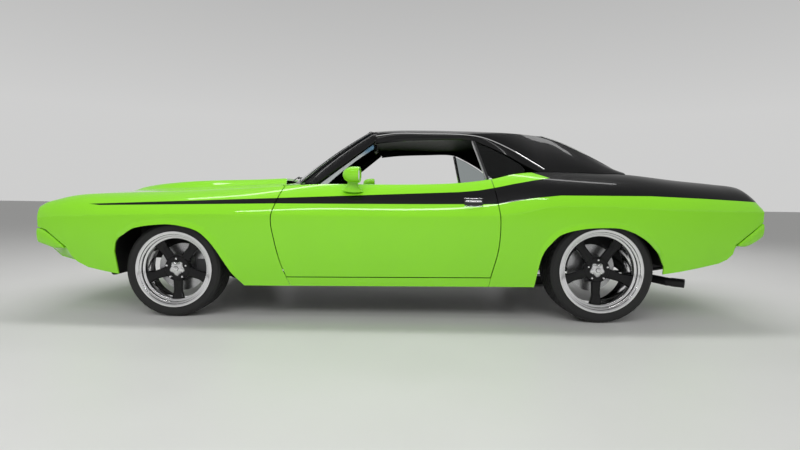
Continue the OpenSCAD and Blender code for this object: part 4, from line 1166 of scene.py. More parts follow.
@dataclass
class BodyPanels:
    """Painted outer panels of the body, made finer than the frame's solids."""

    shape: BodyShape
    paint: Finishes
    door_t: float = 95.0
    jamb_t: float = 78.0
    rocker_t: float = 78.0
    hood_t: float = 18.0
    roof_t: float = 24.0
    rail_t: float = 12.0
    blade_t: float = 42.0
    blade_puff: float = 9.0
    hood_front: float = -800.0
    deck_front: float = 3064.0

    def fender_part(self) -> Part:
        """Right front fender: the side surface, its rear edge bent to the door's line, arch flared.

        Returns:
            The right fender.
        """
        s = self.shape
        x = refine([-899, -860, -807, -740, -700, -670, -628, -558, -461, -400, -370, -352, -350, -330, -305, -260,
                    -200, -110, -30,
                    60, 140, 210, 262, 310, 370, 430, 452, 500, 570, 620, 655], 7)[:, None]
        t = ROWS[None]
        foot = np.where(x <= -351, straight(s.front_foot, x),
                        np.where(x < 452, s.front_arch(x), straight(s.sill_edge, x)))
        edge = s.front_edge(s.side_pt(660.0, 221.0, t)[1]) - s.gap / 2
        xe = x + (edge - 655) * ease((x - 380) / 275)
        z = s.side_pt(xe, foot, t)[1]
        lean = s.wall_lean * np.clip((z - s.wall_foot) / s.wall_rise, 0, s.wall_most)
        xe = xe - lean * ease((x + 560) / 180) * ease((-285 - x) / 65)
        flare = s.flare(s.front_arch, x, foot, t)
        depth = blend(s.skin, 4.0, ease((x - 600) / 40))
        return shell(s.side_at(xe, foot, t, 0.0, flare), s.side_at(xe, foot, t, depth, flare))

    def quarter_parts(self) -> list[Part]:
        """Right quarter panel, and the roof rail that runs into its rear pillar.

        Returns:
            The panel and the rail of the right side.
        """
        s = self.shape
        x = refine([2116, 2150, 2200, 2270, 2340, 2351, 2365, 2385, 2412, 2444, 2506, 2570, 2633, 2700, 2763, 2830,
                    2893,
                    2960, 3020, 3058, 3127, 3160, 3184, 3188, 3210, 3240, 3310, 3444, 3564, 3622, 3660, 3672, 3740,
                    3785, 3836, 3867],
                   7)[:, None]
        t = ROWS[None]
        foot = np.where(x < 2351, straight(s.sill_edge, x),
                        np.where(x <= 3184, s.rear_arch(x), straight(s.rear_foot, x)))
        edge = s.rear_edge(s.side_pt(2116.0, 236.0, t)[1]) + s.gap / 2
        xe = x + (edge - 2116) * (1 - ease((x - 2116) / 200))
        depth = blend(self.jamb_t, s.skin, ease((x - 2200) / 110))
        depth = blend(depth, s.skin, ease(t - 1))
        flare = s.flare(s.rear_arch, x, foot, t)
        panel = shell(s.side_at(xe, foot, t, 0.0, flare), s.side_at(xe, foot, t, depth, flare))
        rail_x = refine([1300, 1372, 1517, 1697, 1878, 1965, 2059, 2149, 2239, 2312, 2384, 2400, 2480, 2546, 2613,
                         2720,
                         2819, 2920, 3018], 6)[:, None]
        v = np.linspace(0, 1, 15)[None]
        rail = shell(s.rail_at(rail_x, v), s.rail_at(rail_x, v, self.rail_t))
        return [panel, rail]

    def door_part(self) -> Part:
        """Right door: outer skin on the body side, inner face set in and drawn in at its edges.

        Returns:
            The right door.
        """
        s = self.shape
        u = refine([0, 0.03, 0.08, 0.13, 0.19, 0.35, 0.5, 0.65, 0.8, 0.95, 1], 6)[:, None]
        t = np.unique(np.append(ROWS[ROWS <= 2.1], [2.4, 2.8]))[None]
        front = s.front_edge(s.side_pt(700.0, 284.0, t)[1]) + s.gap / 2
        rear = s.rear_edge(s.side_pt(2090.0, 297.0, t)[1]) - s.gap / 2
        x = blend(front, rear, u)
        outer = s.side_at(x, straight(s.door_foot, x), t, 0.0)
        xi = blend(front + 6, rear - 22, u)
        thick = blend(44.0, self.door_t, ease((u - 0.13) / 0.06))
        thick = blend(thick, np.minimum(thick, blend(26.0, 60.0, ease((u - 0.1) / 0.1))), ease((t - 1.2) / 0.7))
        y, z = s.side_pt(xi, straight(s.door_foot, xi), t)
        lift = 22 * np.clip(1 - 2 * t, 0, 1) - 16 * ease((t - 1.7) / 0.25)
        return shell(outer, place(xi, y - thick, z + lift))

    def rocker_part(self) -> Part:
        """Right rocker under the door.

        Returns:
            The right rocker.
        """
        s = self.shape
        u, t = np.linspace(0, 1, 60)[:, None], np.linspace(0, 1, 12)[None]
        x = blend(700.0, 2060.0, u)
        z = blend(straight(s.sill_edge, x), straight(s.door_foot, x) - s.gap, t)
        xe = blend(s.front_edge(z) - 0.5, s.rear_edge(z) + 1, u)
        y = s.lower_y(xe, z)
        return shell(place(xe, y, z), place(xe, y - self.rocker_t, z))

    def hood_parts(self) -> list[Part]:
        """Hood with its raised middle, and the curved hinge arms.

        Returns:
            The hood and its two arms.
        """
        s = self.shape
        v = np.unique(np.concatenate([np.linspace(0, 0.4, 37), np.linspace(0.4, 1, 36)]))[:, None]
        u = np.linspace(1, -1, 121)[None]
        y = u * (s.inner_y(blend(self.hood_front, s.hood_rear, v)) - s.gap)
        x = blend(self.hood_front, s.hood_end(y), v)
        z = s.hood_z(np.minimum(x, 680), y)
        edge = np.minimum(1 - np.abs(u), np.minimum(v, 1 - v) * 1.6)
        outer = place(x + s.bow(x, y), y, z - 3.0 * np.exp(-(edge / 0.006) ** 2))
        inner = place(x + s.bow(x, y), y, z - self.hood_t)
        arm = self.lid_arm((735.0, 602.0, 846.0), 102.0, 106.0, 194.0, 20.0)
        return [shell(outer, inner), arm, arm.mirrored(Side.LEFT)]

    def deck_parts(self) -> list[Part]:
        """Deck lid, turned down at the tail, and its curved hinge arms.

        Returns:
            The lid and its two arms.
        """
        s = self.shape
        x = refine([self.deck_front, 3180, 3320, 3460, 3600, 3720, 3785, 3812, 3836, 3852, 3867], 6)[:, None]
        u = np.linspace(1, -1, 81)[None]
        y = u * (s.inner_y(x) - s.gap)
        down = ease((x - 3780) / 60)
        z = s.deck_z(x, y, 16.0)
        d = blend(6.0, 18.0, ease((x - self.deck_front) / 100))
        outer = place(x + s.bow(x, y), y, z - 3.0 * np.exp(-((1 - np.abs(u)) / 0.008) ** 2))
        inner = place(x + s.bow(x, y) - d * down * 0.9, y, z - d * (1 - 0.6 * down))
        arm = self.lid_arm((2930.0, 443.0, 950.0), 157.0, -13.0, 80.0, 18.0)
        return [shell(outer, inner), arm, arm.mirrored(Side.LEFT)]

    def lid_arm(self, pivot: Sequence[float], radius: float, start: float, end: float, width: float) -> Part:
        """Curved arm of a lid: a flat bar carried along an arc and then in to the pivot.

        Args:
            pivot: the pin's drawn place.
            radius: mean radius of the arc.
            start: angle of the lid's end, downward from the tail, in degrees.
            end: angle of the pivot's end.
            width: width of the bar across the car.

        Returns:
            The arm, drawn for the right side.
        """
        a = np.radians(np.linspace(start, end, 24))
        inward = end if start < 0 else start
        arc = np.stack([np.cos(a), -np.sin(a)], 1) * radius
        arc = arc if start < 0 else arc[::-1]
        b = math.radians(inward - 4 if start < 0 else inward + 8)
        leg = np.linspace(0.9, 0.1, 6)[:, None] * radius * np.array([[math.cos(b), -math.sin(b)]])
        line = np.concatenate([arc, leg])
        path = place(pivot[0] + line[:, 0], pivot[1], pivot[2] + line[:, 1])
        return sweep(path, oval(width * MM, 0.02, 12, 0.5), up=(0.02, 1.0, 0.02))

    def nose_part(self) -> Part:
        """Nose panel between the fenders, rolled over its leading edge.

        Returns:
            The whole nose panel.
        """
        s = self.shape
        step = Curve([(0, -899, 34, 1.0, 0.0), (1, -899, 12, 1.0, 0.0), (2, -893, 0, 0.7, 0.7),
                      (3, -872, 0, 0.0, 1.0),
                      (4, -840, 0, 0.0, 1.0), (5, -806, 0, 0.0, 1.0)])
        k, u = np.linspace(0, 5, 41)[:, None], np.linspace(1, -1, 81)[None]
        x, drop, fore, low = (step(k, c) for c in (1, 2, 3, 4))
        y = u * (s.inner_y(np.maximum(x, -890)) - 1.6)
        z = s.hood_z(x, y) - drop
        return shell(place(x + s.bow(x, y), y, z), place(x + s.bow(x, y) + s.skin * fore, y, z - s.skin * low))

    def blade_part(self, table: Sequence[Sequence[float]], way: int) -> Part:
        """Bumper blade that follows the body's plan and turns along its sides.

        Args:
            table: rows of x, plan place, top and bottom from the right end to the middle.
            way: minus one at the nose, one at the tail.

        Returns:
            The whole blade.
        """
        s = self.shape
        rows = Curve([(i, *r) for i, r in enumerate(table)])
        k, v = refine(np.arange(len(table)), 8)[:, None], np.linspace(0, 1, 15)[None]
        x, plan, top, low = (rows(k, c) for c in (1, 2, 3, 4))
        end = s.nose_x if way < 0 else s.tail_x
        x = np.clip(x, min(end, 0), max(end, 0))
        z = blend(low, top, v)
        y = np.minimum(plan / s.half_plan, 1.0) * s.lower_y(x, z)
        turn = np.clip((way * (x - end) + 60) / 60, 0, 1) * np.where(plan > s.half_plan - 1, 50, 90)
        angle = np.radians(turn)
        puff = self.blade_puff * (0.2 + 0.8 * np.clip(4 * v * (1 - v), 0, 1) ** 0.5)

        def at(out: Array) -> Array:
            """Grid of the blade, moved out along its plan normal."""
            half = np.stack([x + s.bow(x, y) + way * out * np.sin(angle), y + out * np.cos(angle), z], -1)
            return np.concatenate([half, (half * [1, -1, 1])[-2::-1]])

        outer, inner = at(puff), at(puff - self.blade_t)
        return outward(shell(place(*np.moveaxis(outer, -1, 0)), place(*np.moveaxis(inner, -1, 0)), 0))

    def corner_part(self, inner: Sequence[Sequence[float]], outer: Sequence[Sequence[float]], end_y: float) -> Part:
        """Pan corner under a bumper's end: straight lines from the valance's end out to the panel's edge.

        Args:
            inner: x and z along the valance's end.
            outer: x and z along the bumper's and the panel's lower edge.
            end_y: outboard place of the valance's end.

        Returns:
            The right corner.
        """
        s, v = self.shape, np.linspace(0, 1, 9)[None]
        rows = [Curve([(i, *p) for i, p in enumerate(line)]) for line in (inner, outer)]
        k = np.linspace(0, len(inner) - 1, 41)[:, None]
        (ax, az), (bx, bz) = ((row(k, 1), row(k, 2)) for row in rows)
        x, z = blend(ax, bx, v), blend(az, bz, v)
        y = blend(end_y + 0 * ax, s.lower_y(bx, bz) - 6, v)
        return outward(shell(place(x, y, z), place(x, y - 3, z + 5), 0))

    def build(self) -> None:
        """Makes and dresses every painted panel."""
        s, f = self.shape, self.paint
        for side in Side:
            word = side.name.lower()
            rows = (("fender", [self.fender_part()], [f.side, f.under], ROOT),
                    ("quarter", self.quarter_parts(), [f.side, f.lining], ROOT),
                    ("door", [self.door_part()], [f.side, f.lining], f"{word}_door"),
                    ("rocker", [self.rocker_part()], [f.green, f.under], ROOT))
            for panel, parts, finishes, body in rows:
                make_piece(f"{word}_{panel}_skin", [p.mirrored(side) for p in parts], finishes, "body_paint",
                           [f"{word}_{panel}"], body=body)
        make_piece("hood_skin", self.hood_parts(), [f.green, f.under], "body_paint", ["hood"], body="hood")
        make_piece("deck_lid_skin", self.deck_parts(), [f.black, f.under], "black_paint", ["deck_lid"],
                   body="deck_lid")
        make_piece("nose_skin", [self.nose_part()], [f.green, f.under], "body_paint", ["nose_panel"])
        u, v = np.linspace(1, -1, 81)[None], np.linspace(0, 1, 61)[:, None]
        make_piece("roof_skin", [shell(s.roof_at(u, v), s.roof_at(u, v, self.roof_t))], [f.black, f.lining],
                   "black_paint", ["roof"])
        # x, plan place, top and bottom of the bumper blades, from the right end to the middle
        front = [(-712, 850, 450, 442), (-740, 850, 474, 441), (-790, 850, 515, 443), (-850, 850, 556, 462),
                 (-899, 850, 570, 476), (-899, 780, 570, 478), (-899, 600, 570, 480), (-899, 300, 570, 480),
                 (-899, 0, 570, 480)]
        rear = [(3690, 850, 526, 518), (3712, 850, 544, 513), (3760, 850, 582, 518), (3820, 850, 628, 545),
                (3867, 850, 664, 576), (3867, 780, 666, 580), (3867, 600, 666, 580), (3867, 300, 666, 580),
                (3867, 0, 666, 580)]
        # Outboard place of each valance's end, then x and z along it and along the panel's edge
        pans = {
            "front": (776.0,
                      [(-889, 473), (-868, 455), (-838, 428), (-811, 404), (-784, 381), (-740, 368), (-690, 355),
                              (-640, 341), (-606, 332)],
                      [(-893, 479), (-850, 464), (-790, 445), (-740, 443), (-704, 444), (-684, 424), (-668, 397),
                       (-628, 357), (-606, 345)]),
            "rear": (756.0,
                     [(3837, 573), (3829, 552), (3822, 535), (3773, 513), (3724, 491), (3682, 461), (3641, 431),
                             (3602, 416)],
                     [(3862, 574), (3822, 547), (3762, 519), (3714, 514), (3680, 514), (3664, 474), (3622, 431),
                      (3602, 422)])}
        for end, (y, inner, outer) in pans.items():
            corner = self.corner_part(inner, outer, y)
            make_piece(f"{end}_pan_corners", [corner.mirrored(side) for side in Side], [f.green], "body_paint")
        for end, table, way in (("front", front, -1), ("rear", rear, 1)):
            make_piece(f"{end}_bumper_blade", [self.blade_part(table, way)], [f.green], "body_paint",
                       [f"{end}_bumper"])


@dataclass
class Glazing:
    """Screens and the bright trim round the windows."""

    shape: BodyShape
    paint: Finishes
    glass_t: float = 6.0
    moulding: tuple = (0.014, 0.006)

    def build(self) -> None:
        """Makes the screens, mouldings and drip rails."""
        s, f = self.shape, self.paint
        u, v = np.linspace(1, -1, 61)[None], np.linspace(0, 1, 41)[:, None]
        make_piece("windshield_glass", [shell(s.screen_at(u, v), s.screen_at(u, v, self.glass_t), 0)], [f.screen],
                   "glass", ["windshield"])
        make_piece("rear_window_glass", [shell(s.back_at(u, v), s.back_at(u, v, self.glass_t), 0)], [f.glass],
                   "glass", ["rear_window"])
        bar = oval(*self.moulding, 10, 0.7)
        line, rise = np.linspace(-1, 1, 60), np.linspace(0, 1, 40)
        screen, back = ([at(line, 0 * line), at(line, 0 * line + 1), at(0 * rise + 1, rise), at(0 * rise - 1, rise)]
                        for at in (s.screen_at, s.back_at))
        make_piece("windshield_moulding", [sweep(p + [0, 0, 0.002], bar, (-0.7, 0.0, 0.7)) for p in screen], [f.grey],
                   "steel")
        make_piece("rear_window_moulding", [sweep(p + [0, 0, 0.002], bar, (0.4, 0.0, 0.9)) for p in back], [f.chrome],
                   "steel")
        covers = [p.mirrored(side) for side in Side for p in self.pillar_cover()]
        make_piece("windshield_pillar_covers", covers, [f.black], "black_paint")
        rails = [self.drip_rail().mirrored(side) for side in Side]
        make_piece("drip_rails", rails, [f.chrome], "steel")
        bars = [p.mirrored(side) for side in Side for p in self.division_bar()]
        make_piece("quarter_window_bars", bars, [f.chrome, f.trim], "steel")

    def drip_rail(self) -> Part:
        """Thin bright channel along the roof's side, down the pillar to the quarter.

        Returns:
            The right rail.
        """
        s = self.shape
        line = Curve([(1300, 1232), (1440, 1250), (1650, 1251), (1872, 1250), (2006, 1238), (2105, 1209),
                      (2237, 1144),
                      (2334, 1081), (2442, 1009)])
        x = np.linspace(1300, 2442, 90)
        v = np.linspace(0, 1, 60)
        grid = s.rail_at(x[:, None], v[None])
        share = np.array([np.interp(z * MM, row[:, 2], v) for z, row in zip(line(x), grid)])
        path = s.rail_at(x, share) + [0, 0.002, 0]
        return sweep(path, oval(0.007, 0.007, 10, 0.7), (0, 0, 1))

    def pillar_cover(self) -> list[Part]:
        """Faired skin of the windshield pillar, from the glass's edge to its outer corner, and its joint to the rail.

        Returns:
            The right pillar's skin and joint.
        """
        s = self.shape
        v, w = np.linspace(0.015, 0.99, 30)[None], np.linspace(0, 1, 12)[:, None]
        glass = s.screen_at(0.93, v) + [-0.004, 0.0, 0.003]
        corner = blend(place(884.0, 708.0, 877.0), place(1297.0, 596.0, 1200.0), v[..., None])
        bulge = np.array([-0.4, 0.7, 0.5]) * 0.012 * np.sin(np.pi * w)[..., None]
        outer = blend(glass, corner, w[..., None]) + bulge
        rail = s.rail_at(1308.0, 1 - w)
        t = np.linspace(-0.04, 1.0, 8)[None, :, None]
        joint = blend(outer[:, -1:], rail, t) + np.array([-0.15, 0.3, 0.5]) * 0.004
        return [outward(shell(g, g + [0.003, -0.003, -0.004], 0)) for g in (outer, joint)]

    def division_bar(self) -> list[Part]:
        """Upright bar at the front of the quarter window: bright outside, black behind.

        Returns:
            The right window's two bars.
        """
        path = blend(place(2046.0, 770.0, 936.0)[None], place(1970.0, 612.0, 1202.0)[None],
                     np.linspace(0, 1, 12)[:, None])
        return [sweep(path + [0, 0.004, 0.0], oval(0.010, 0.012, 10, 0.6), (0, 1, 0.3)),
                sweep(path + [0.013, 0.0, 0.0], oval(0.016, 0.016, 10, 0.6), (0, 1, 0.3), finish=1)]


@dataclass
class DoorFurniture:
    """Mirrors and handles on the doors."""

    shape: BodyShape
    paint: Finishes
    mirror_at: tuple = (1172.0, 918.0, 944.0)
    mirror_foot: tuple = (1166.0, 868.0, 846.0)
    mirror_turn: float = 8.0
    handle_x: tuple = (1886.0, 2006.0)

    def build(self) -> None:
        """Makes both doors' mirrors and handles."""
        f = self.paint
        for side in Side:
            word = side.name.lower()
            make_piece(f"{word}_mirror", [p.mirrored(side) for p in self.mirror()], [f.green, f.chrome], "body_paint",
                       sharp=50.0, body=f"{word}_door")
            make_piece(f"{word}_door_handle", [p.mirrored(side) for p in self.handle()], [f.chrome, f.trim],
                       "steel", body=f"{word}_door")

    def mirror(self) -> list[Part]:
        """Bullet-shaped mirror: a turned shell on a tapered stalk, with its glass set in.

        Returns:
            The shell, glass and stalk of the right mirror.
        """
        profile = Curve([(0, 0.001, 66), (1, 22, 61), (2, 38, 46), (3, 49, 22), (4, 52, -4), (5, 52, -36),
                         (6, 48, -45)])
        k = np.linspace(0, 6, 40)
        a = math.radians(self.mirror_turn)
        axis = np.array([-math.cos(a), -math.sin(a), 0.0])
        head = place(*self.mirror_at)
        rim = [(46, -45), (46, -38), (0.5, -38)]
        outline = np.concatenate([np.stack([profile(k, 1), profile(k, 2)], 1), rim]) * MM
        stalk = blend(place(*self.mirror_foot)[None], head[None], np.linspace(0, 1, 24)[:, None])
        grow = 1 + 1.1 * (1 - np.linspace(0, 1, 24)) ** 6
        glass = revolve([(0.0005, -0.0385), (0.0455, -0.0385), (0.0455, -0.036), (0.0005, -0.036)], head, axis, 48, 1)
        return [revolve(outline, head, axis, 64, closed=False), glass,
                sweep(stalk, oval(0.030, 0.066, 20), (1, 0, 0), grow)]

    def handle(self) -> list[Part]:
        """Flush pull: a rounded bright plate over a dark sheet that paints the shade of a finger recess.

        Returns:
            The pull, frame and painted-shade recess sheet of the right handle.
        """
        s = self.shape
        x = np.linspace(*self.handle_x, 30)
        share = np.linspace(0, 1, 80)
        y, z = s.upper(1946.0, share)
        lean = (0.0, float(np.interp(790, z, y) - np.interp(766, z, y)), 24.0)
        fade = np.clip(np.sin(np.linspace(0.04, 0.96, 30) * np.pi), 0, 1) ** 0.2
        # A dark trim sheet on the skin stands in for the finger recess: painted shade, not a hollow.
        recess_shade = sweep(place(x, np.interp(778, z, y) + 0.5, 778.0), oval(0.006, 0.054, 24, 0.3), lean, fade, 1)
        frame_ = [sweep(place(x, np.interp(h, z, y) + 2.5, h), oval(0.007, 0.006, 12, 0.7), lean, fade)
                  for h in (803.0, 753.0)]
        pull = sweep(place(x[2:-2], np.interp(786, z, y) + 6, 786.0), oval(0.009, 0.018, 14, 0.6), lean, fade[2:-2])
        return [pull, *frame_, recess_shade]


@dataclass
class WheelSet:
    """One wheel with its tyre, drawn about its own axis with the outer face up."""

    name: str
    side: Side
    axle_x: float
    track: float
    tyre_r: float
    rim_r: float
    width: float
    hub_at: float
    disc_at: float
    paint: Finishes
    disc_r: float = 160.0
    lug_r: float = 0.067
    spokes: int = 5

    @property
    def centre(self) -> Array:
        """Middle of the wheel in the frame."""
        return place(self.axle_x, self.side.value * self.track / 2, self.tyre_r)

    @property
    def axis(self) -> Array:
        """Outward direction of the axle."""
        return np.array([0.0, float(self.side.value), 0.0])

    @property
    def barrel_r(self) -> float:
        """Radius of the rim's barrel."""
        return self.rim_r - 16.3

    def turned(self, profile: Sequence[Sequence[float]], count: int, finish: int = 0,
               middle: Optional[Array] = None) -> Part:
        """A profile turned about the axle, or about a line beside it.

        Args:
            profile: radius and outward place, in millimetres.
            count: points round the axis.
            finish: finish of every face.
            middle: a point on the line; the wheel's middle where none is given.

        Returns:
            The turned part.
        """
        return revolve(np.array(profile) * MM, self.centre if middle is None else middle, self.axis, count, finish)

    def tyre_part(self) -> Part:
        """Tyre: a rounded section turned about the axle, with ring grooves and slanted cross grooves.

        Returns:
            The tyre.
        """
        h, r, rim = self.width / 2, self.tyre_r, self.rim_r
        half = [(rim - 15, h - 15), (rim + 5, h - 7), (rim + 24, h - 1), ((r + rim) / 2 + 8, h), (r - 17, h - 4),
                (r - 5.5, h - 12), (r - 1.5, h - 30), (r - 0.5, h * 0.45)]
        section = [(p, -w) for p, w in half] + [(r, 0)] + half[::-1]
        line = Curve([(i, *p) for i, p in enumerate(section)])
        k = refine([0, 1, 2, 3, 4, 5, 6, 10, 11, 12, 13, 14, 15, 16], 6)
        k = np.unique(np.concatenate([k, np.linspace(5, 11, 70)]))
        radius, axial = line(k, 1), line(k, 2)
        a = np.linspace(0, 2 * np.pi, 320, endpoint=False)
        across = np.abs(axial[:, None]) / (h - 13)
        tread = ease((1.02 - across) / 0.03)
        ring = np.max([np.exp(-((axial - w * h) / 4.5) ** 2) for w in (-0.52, -0.18, 0.18, 0.52)], axis=0)[:, None]
        slant = np.sin(40 * a[None] + 7.0 * across * np.sign(axial[:, None]))
        cross = ease((slant - 0.82) / 0.12) * ease((across - 0.3) / 0.1)
        depth = 6.0 * tread * np.maximum(ring, cross * 0.8)
        groove = 0.8 * np.exp(-((radius - (rim + 14)) / 2.0) ** 2) + 0.7 * np.exp(-((radius - (r - 30)) / 2.0) ** 2)
        reach = radius[:, None] - depth
        side = axial[:, None] - np.sign(axial[:, None]) * groove[:, None]
        spoke = np.stack([np.cos(a), np.zeros_like(a), np.sin(a)], 1)
        points = self.centre + (reach[..., None] * spoke[None] + side[..., None] * self.axis) * MM
        faces = cells(len(k), len(a), wrap_n=True, wrap_m=True).tolist()
        return outward(Part(points.reshape(-1, 3), faces, [0] * len(faces)))

    def rim_part(self) -> Part:
        """Polished rim: a rolled lip, two steps and a barrel, turned about the axle.

        Returns:
            The rim.
        """
        h = self.width / 2
        b, e = self.barrel_r, h - 13
        profile = [(b, -e), (b, e - 4), (self.rim_r + 1, h - 9), (self.rim_r + 2.5, h - 6), (self.rim_r + 1, h - 3),
                   (self.rim_r - 3, h - 2), (self.rim_r - 9, h - 3.5), (b - 1, h - 8), (b - 4, h - 14),
                   (b - 12, h - 17),
                   (b - 14, h - 19), (b - 15, e - 20), (b - 17, e - 23), (b - 28, e - 26), (b - 30, e - 28),
                   (b - 34, e - 56), (b - 30, e - 72), (b - 22, e - 90), (b - 18, -e + 8), (b - 10, -e)]
        return self.turned(profile, 128)

    def spoke_parts(self) -> list[Part]:
        """Spokes: a ridged section, narrow at the waist, carried out from the hub to the rim.

        Returns:
            One part a spoke.
        """
        parts = []
        s = np.linspace(0, 1, 28)
        reach = blend(48.0, self.barrel_r - 24, s)
        half = 27 + 8 * (1 - s) ** 2 + 14 * ease((s - 0.6) / 0.4)
        top = self.hub_at + 36 - 9 * np.sin(np.pi * s) + 3 * s
        low = np.full_like(s, self.hub_at + 7)
        ring = np.array([(-1, 0.0), (-1.0, 0.55), (-0.82, 0.82), (-0.35, 0.92), (-0.12, 1.0), (0.12, 1.0),
                         (0.35, 0.92),
                         (0.82, 0.82), (1.0, 0.55), (1, 0.0)])
        wide = half[:, None] * ring[None, :, 0]
        rise = blend(low[:, None], top[:, None], ring[None, :, 1])
        for k in range(self.spokes):
            a = 2 * math.pi * k / self.spokes - math.pi / 2
            out = np.array([math.cos(a), 0.0, math.sin(a)])
            cross = np.cross(self.axis, out)
            rings = reach[:, None, None] * out + wide[..., None] * cross + rise[..., None] * self.axis
            parts.append(tube(self.centre + rings * MM))
        return parts

    def hub_parts(self) -> list[Part]:
        """Hub, bright centre cap with a six-sided nut, and five lug nuts.

        Returns:
            The hub, cap, nut and lug nuts.
        """
        at = self.hub_at
        hub = self.turned([(19, at - 2), (82, at - 2), (88, at + 8), (86, at + 26), (78, at + 34), (19, at + 34)], 72)
        cap = self.star_cap(at)
        nut = self.turned([(0.5, at + 61), (15, at + 60), (19, at + 56), (20, at + 49), (0.5, at + 49)], 6, 1)
        lug = [(0.3, at + 54), (6, at + 53), (9.5, at + 48), (10, at + 31), (0.3, at + 31)]
        angles = [2 * math.pi * (k + 0.5) / self.spokes - math.pi / 2 for k in range(self.spokes)]
        middles = [self.centre + np.array([math.cos(a), 0.0, math.sin(a)]) * self.lug_r for a in angles]
        lugs = [self.turned(lug, 6, 1, middle) for middle in middles]
        return [hub, cap, nut, *lugs]

    def star_cap(self, at: float) -> Part:
        """Bright centre cap with five lobes: rings whose radius swells five times in a turn.

        Args:
            at: outward place of the hub's back face.

        Returns:
            The cap.
        """
        line = np.array([(0.5, at + 55), (14, at + 54), (28, at + 51), (39, at + 46), (46, at + 40), (48, at + 33),
                         (0.5, at + 33)])
        a = np.linspace(0, 2 * np.pi, 80, endpoint=False)
        lobe = 1 + 0.12 * np.cos(self.spokes * (a + np.pi / 2)) * ease(line[:, :1] / 30)
        spoke = np.stack([np.cos(a), np.zeros_like(a), np.sin(a)], 1)
        rings = (line[:, :1] * lobe)[..., None] * spoke[None] + line[:, 1][:, None, None] * self.axis
        return tube(self.centre + rings * MM, 1)

    def disc_part(self) -> Part:
        """Brake disc with a raised hat and a vent slot round its edge.

        Returns:
            The disc.
        """
        d, r = self.disc_at, self.disc_r
        profile = [(19, d + 2), (r - 8, d), (r, d + 1), (r, d + 9), (r - 7, d + 10), (r - 7, d + 14), (r, d + 15),
                   (r, d + 23), (r - 60, d + 24), (r - 62, d + 28), (78, self.hub_at - 4), (74, self.hub_at),
                   (19, self.hub_at)]
        return self.turned(profile, 120)

    def build(self) -> None:
        """Makes the tyre, rim, spokes, hub and disc."""
        f = self.paint
        body = f"{self.name}_wheel"
        rows = (("tyre_tread", [self.tyre_part()], [f.rubber], "tyre", [f"{self.name}_tyre"], 40.0),
                ("rim", [self.rim_part()], [f.polished], "wheel_alloy", [f"{self.name}_wheel"], 30.0),
                ("spokes", self.spoke_parts(), [f.spoke], "wheel_alloy", [], 38.0),
                ("hub", self.hub_parts(), [f.spoke, f.chrome], "wheel_alloy", [], 35.0),
                ("brake_disc", [self.disc_part()], [f.disc], "steel", [], 32.0))
        for piece, parts, finishes, slot, nodes, sharp in rows:
            make_piece(f"{self.name}_{piece}", parts, finishes, slot, nodes, sharp, body)


@dataclass
class Cabin:
    """Seats and what shows through the windows."""

    paint: Finishes
    seat_y: float = 410.0
    pleats: int = 7
    cushion: tuple = (0.50, 0.455, 0.135)
    back: tuple = (0.52, 0.445, 0.125)
    plinth: tuple = (0.54, 0.40, 0.104)
    bench: tuple = (0.36, 1.07, 0.10)
    bench_back: tuple = (0.45, 1.07, 0.115)

    def build(self) -> None:
        """Makes the seats as padded pieces on plain plinths."""
        f = self.paint
        ys = [side.value * self.seat_y for side in Side]
        cushions = [pillow(place(1490.0, y, 395.0), self.cushion, -6.5, self.pleats) for y in ys]
        backs = [pillow(place(1806.0, y, 640.0), self.back, 74.0, self.pleats) for y in ys]
        plinths = [pillow(place(1540.0, y, 306.0), self.plinth, 0.0, square=0.2) for y in ys]
        bench = [pillow(place(2262.0, 0.0, 462.0), self.bench, -7.0, 2 * self.pleats)]
        rest = [pillow(place(2545.0, 0.0, 690.0), self.bench_back, 73.0, 2 * self.pleats)]
        pads = [make_piece("front_seat_cushions", cushions, [f.hide], "seat_vinyl", ["front_seats"], 60.0),
                make_piece("front_seat_backs", backs, [f.hide], "seat_vinyl", sharp=60.0)]
        make_piece("front_seat_plinths", plinths, [f.trim], "trim", sharp=60.0)
        pads += [make_piece("rear_seat_cushion", bench, [f.hide], "seat_vinyl", ["rear_seat"], 60.0),
                 make_piece("rear_seat_back", rest, [f.hide], "seat_vinyl", sharp=60.0)]


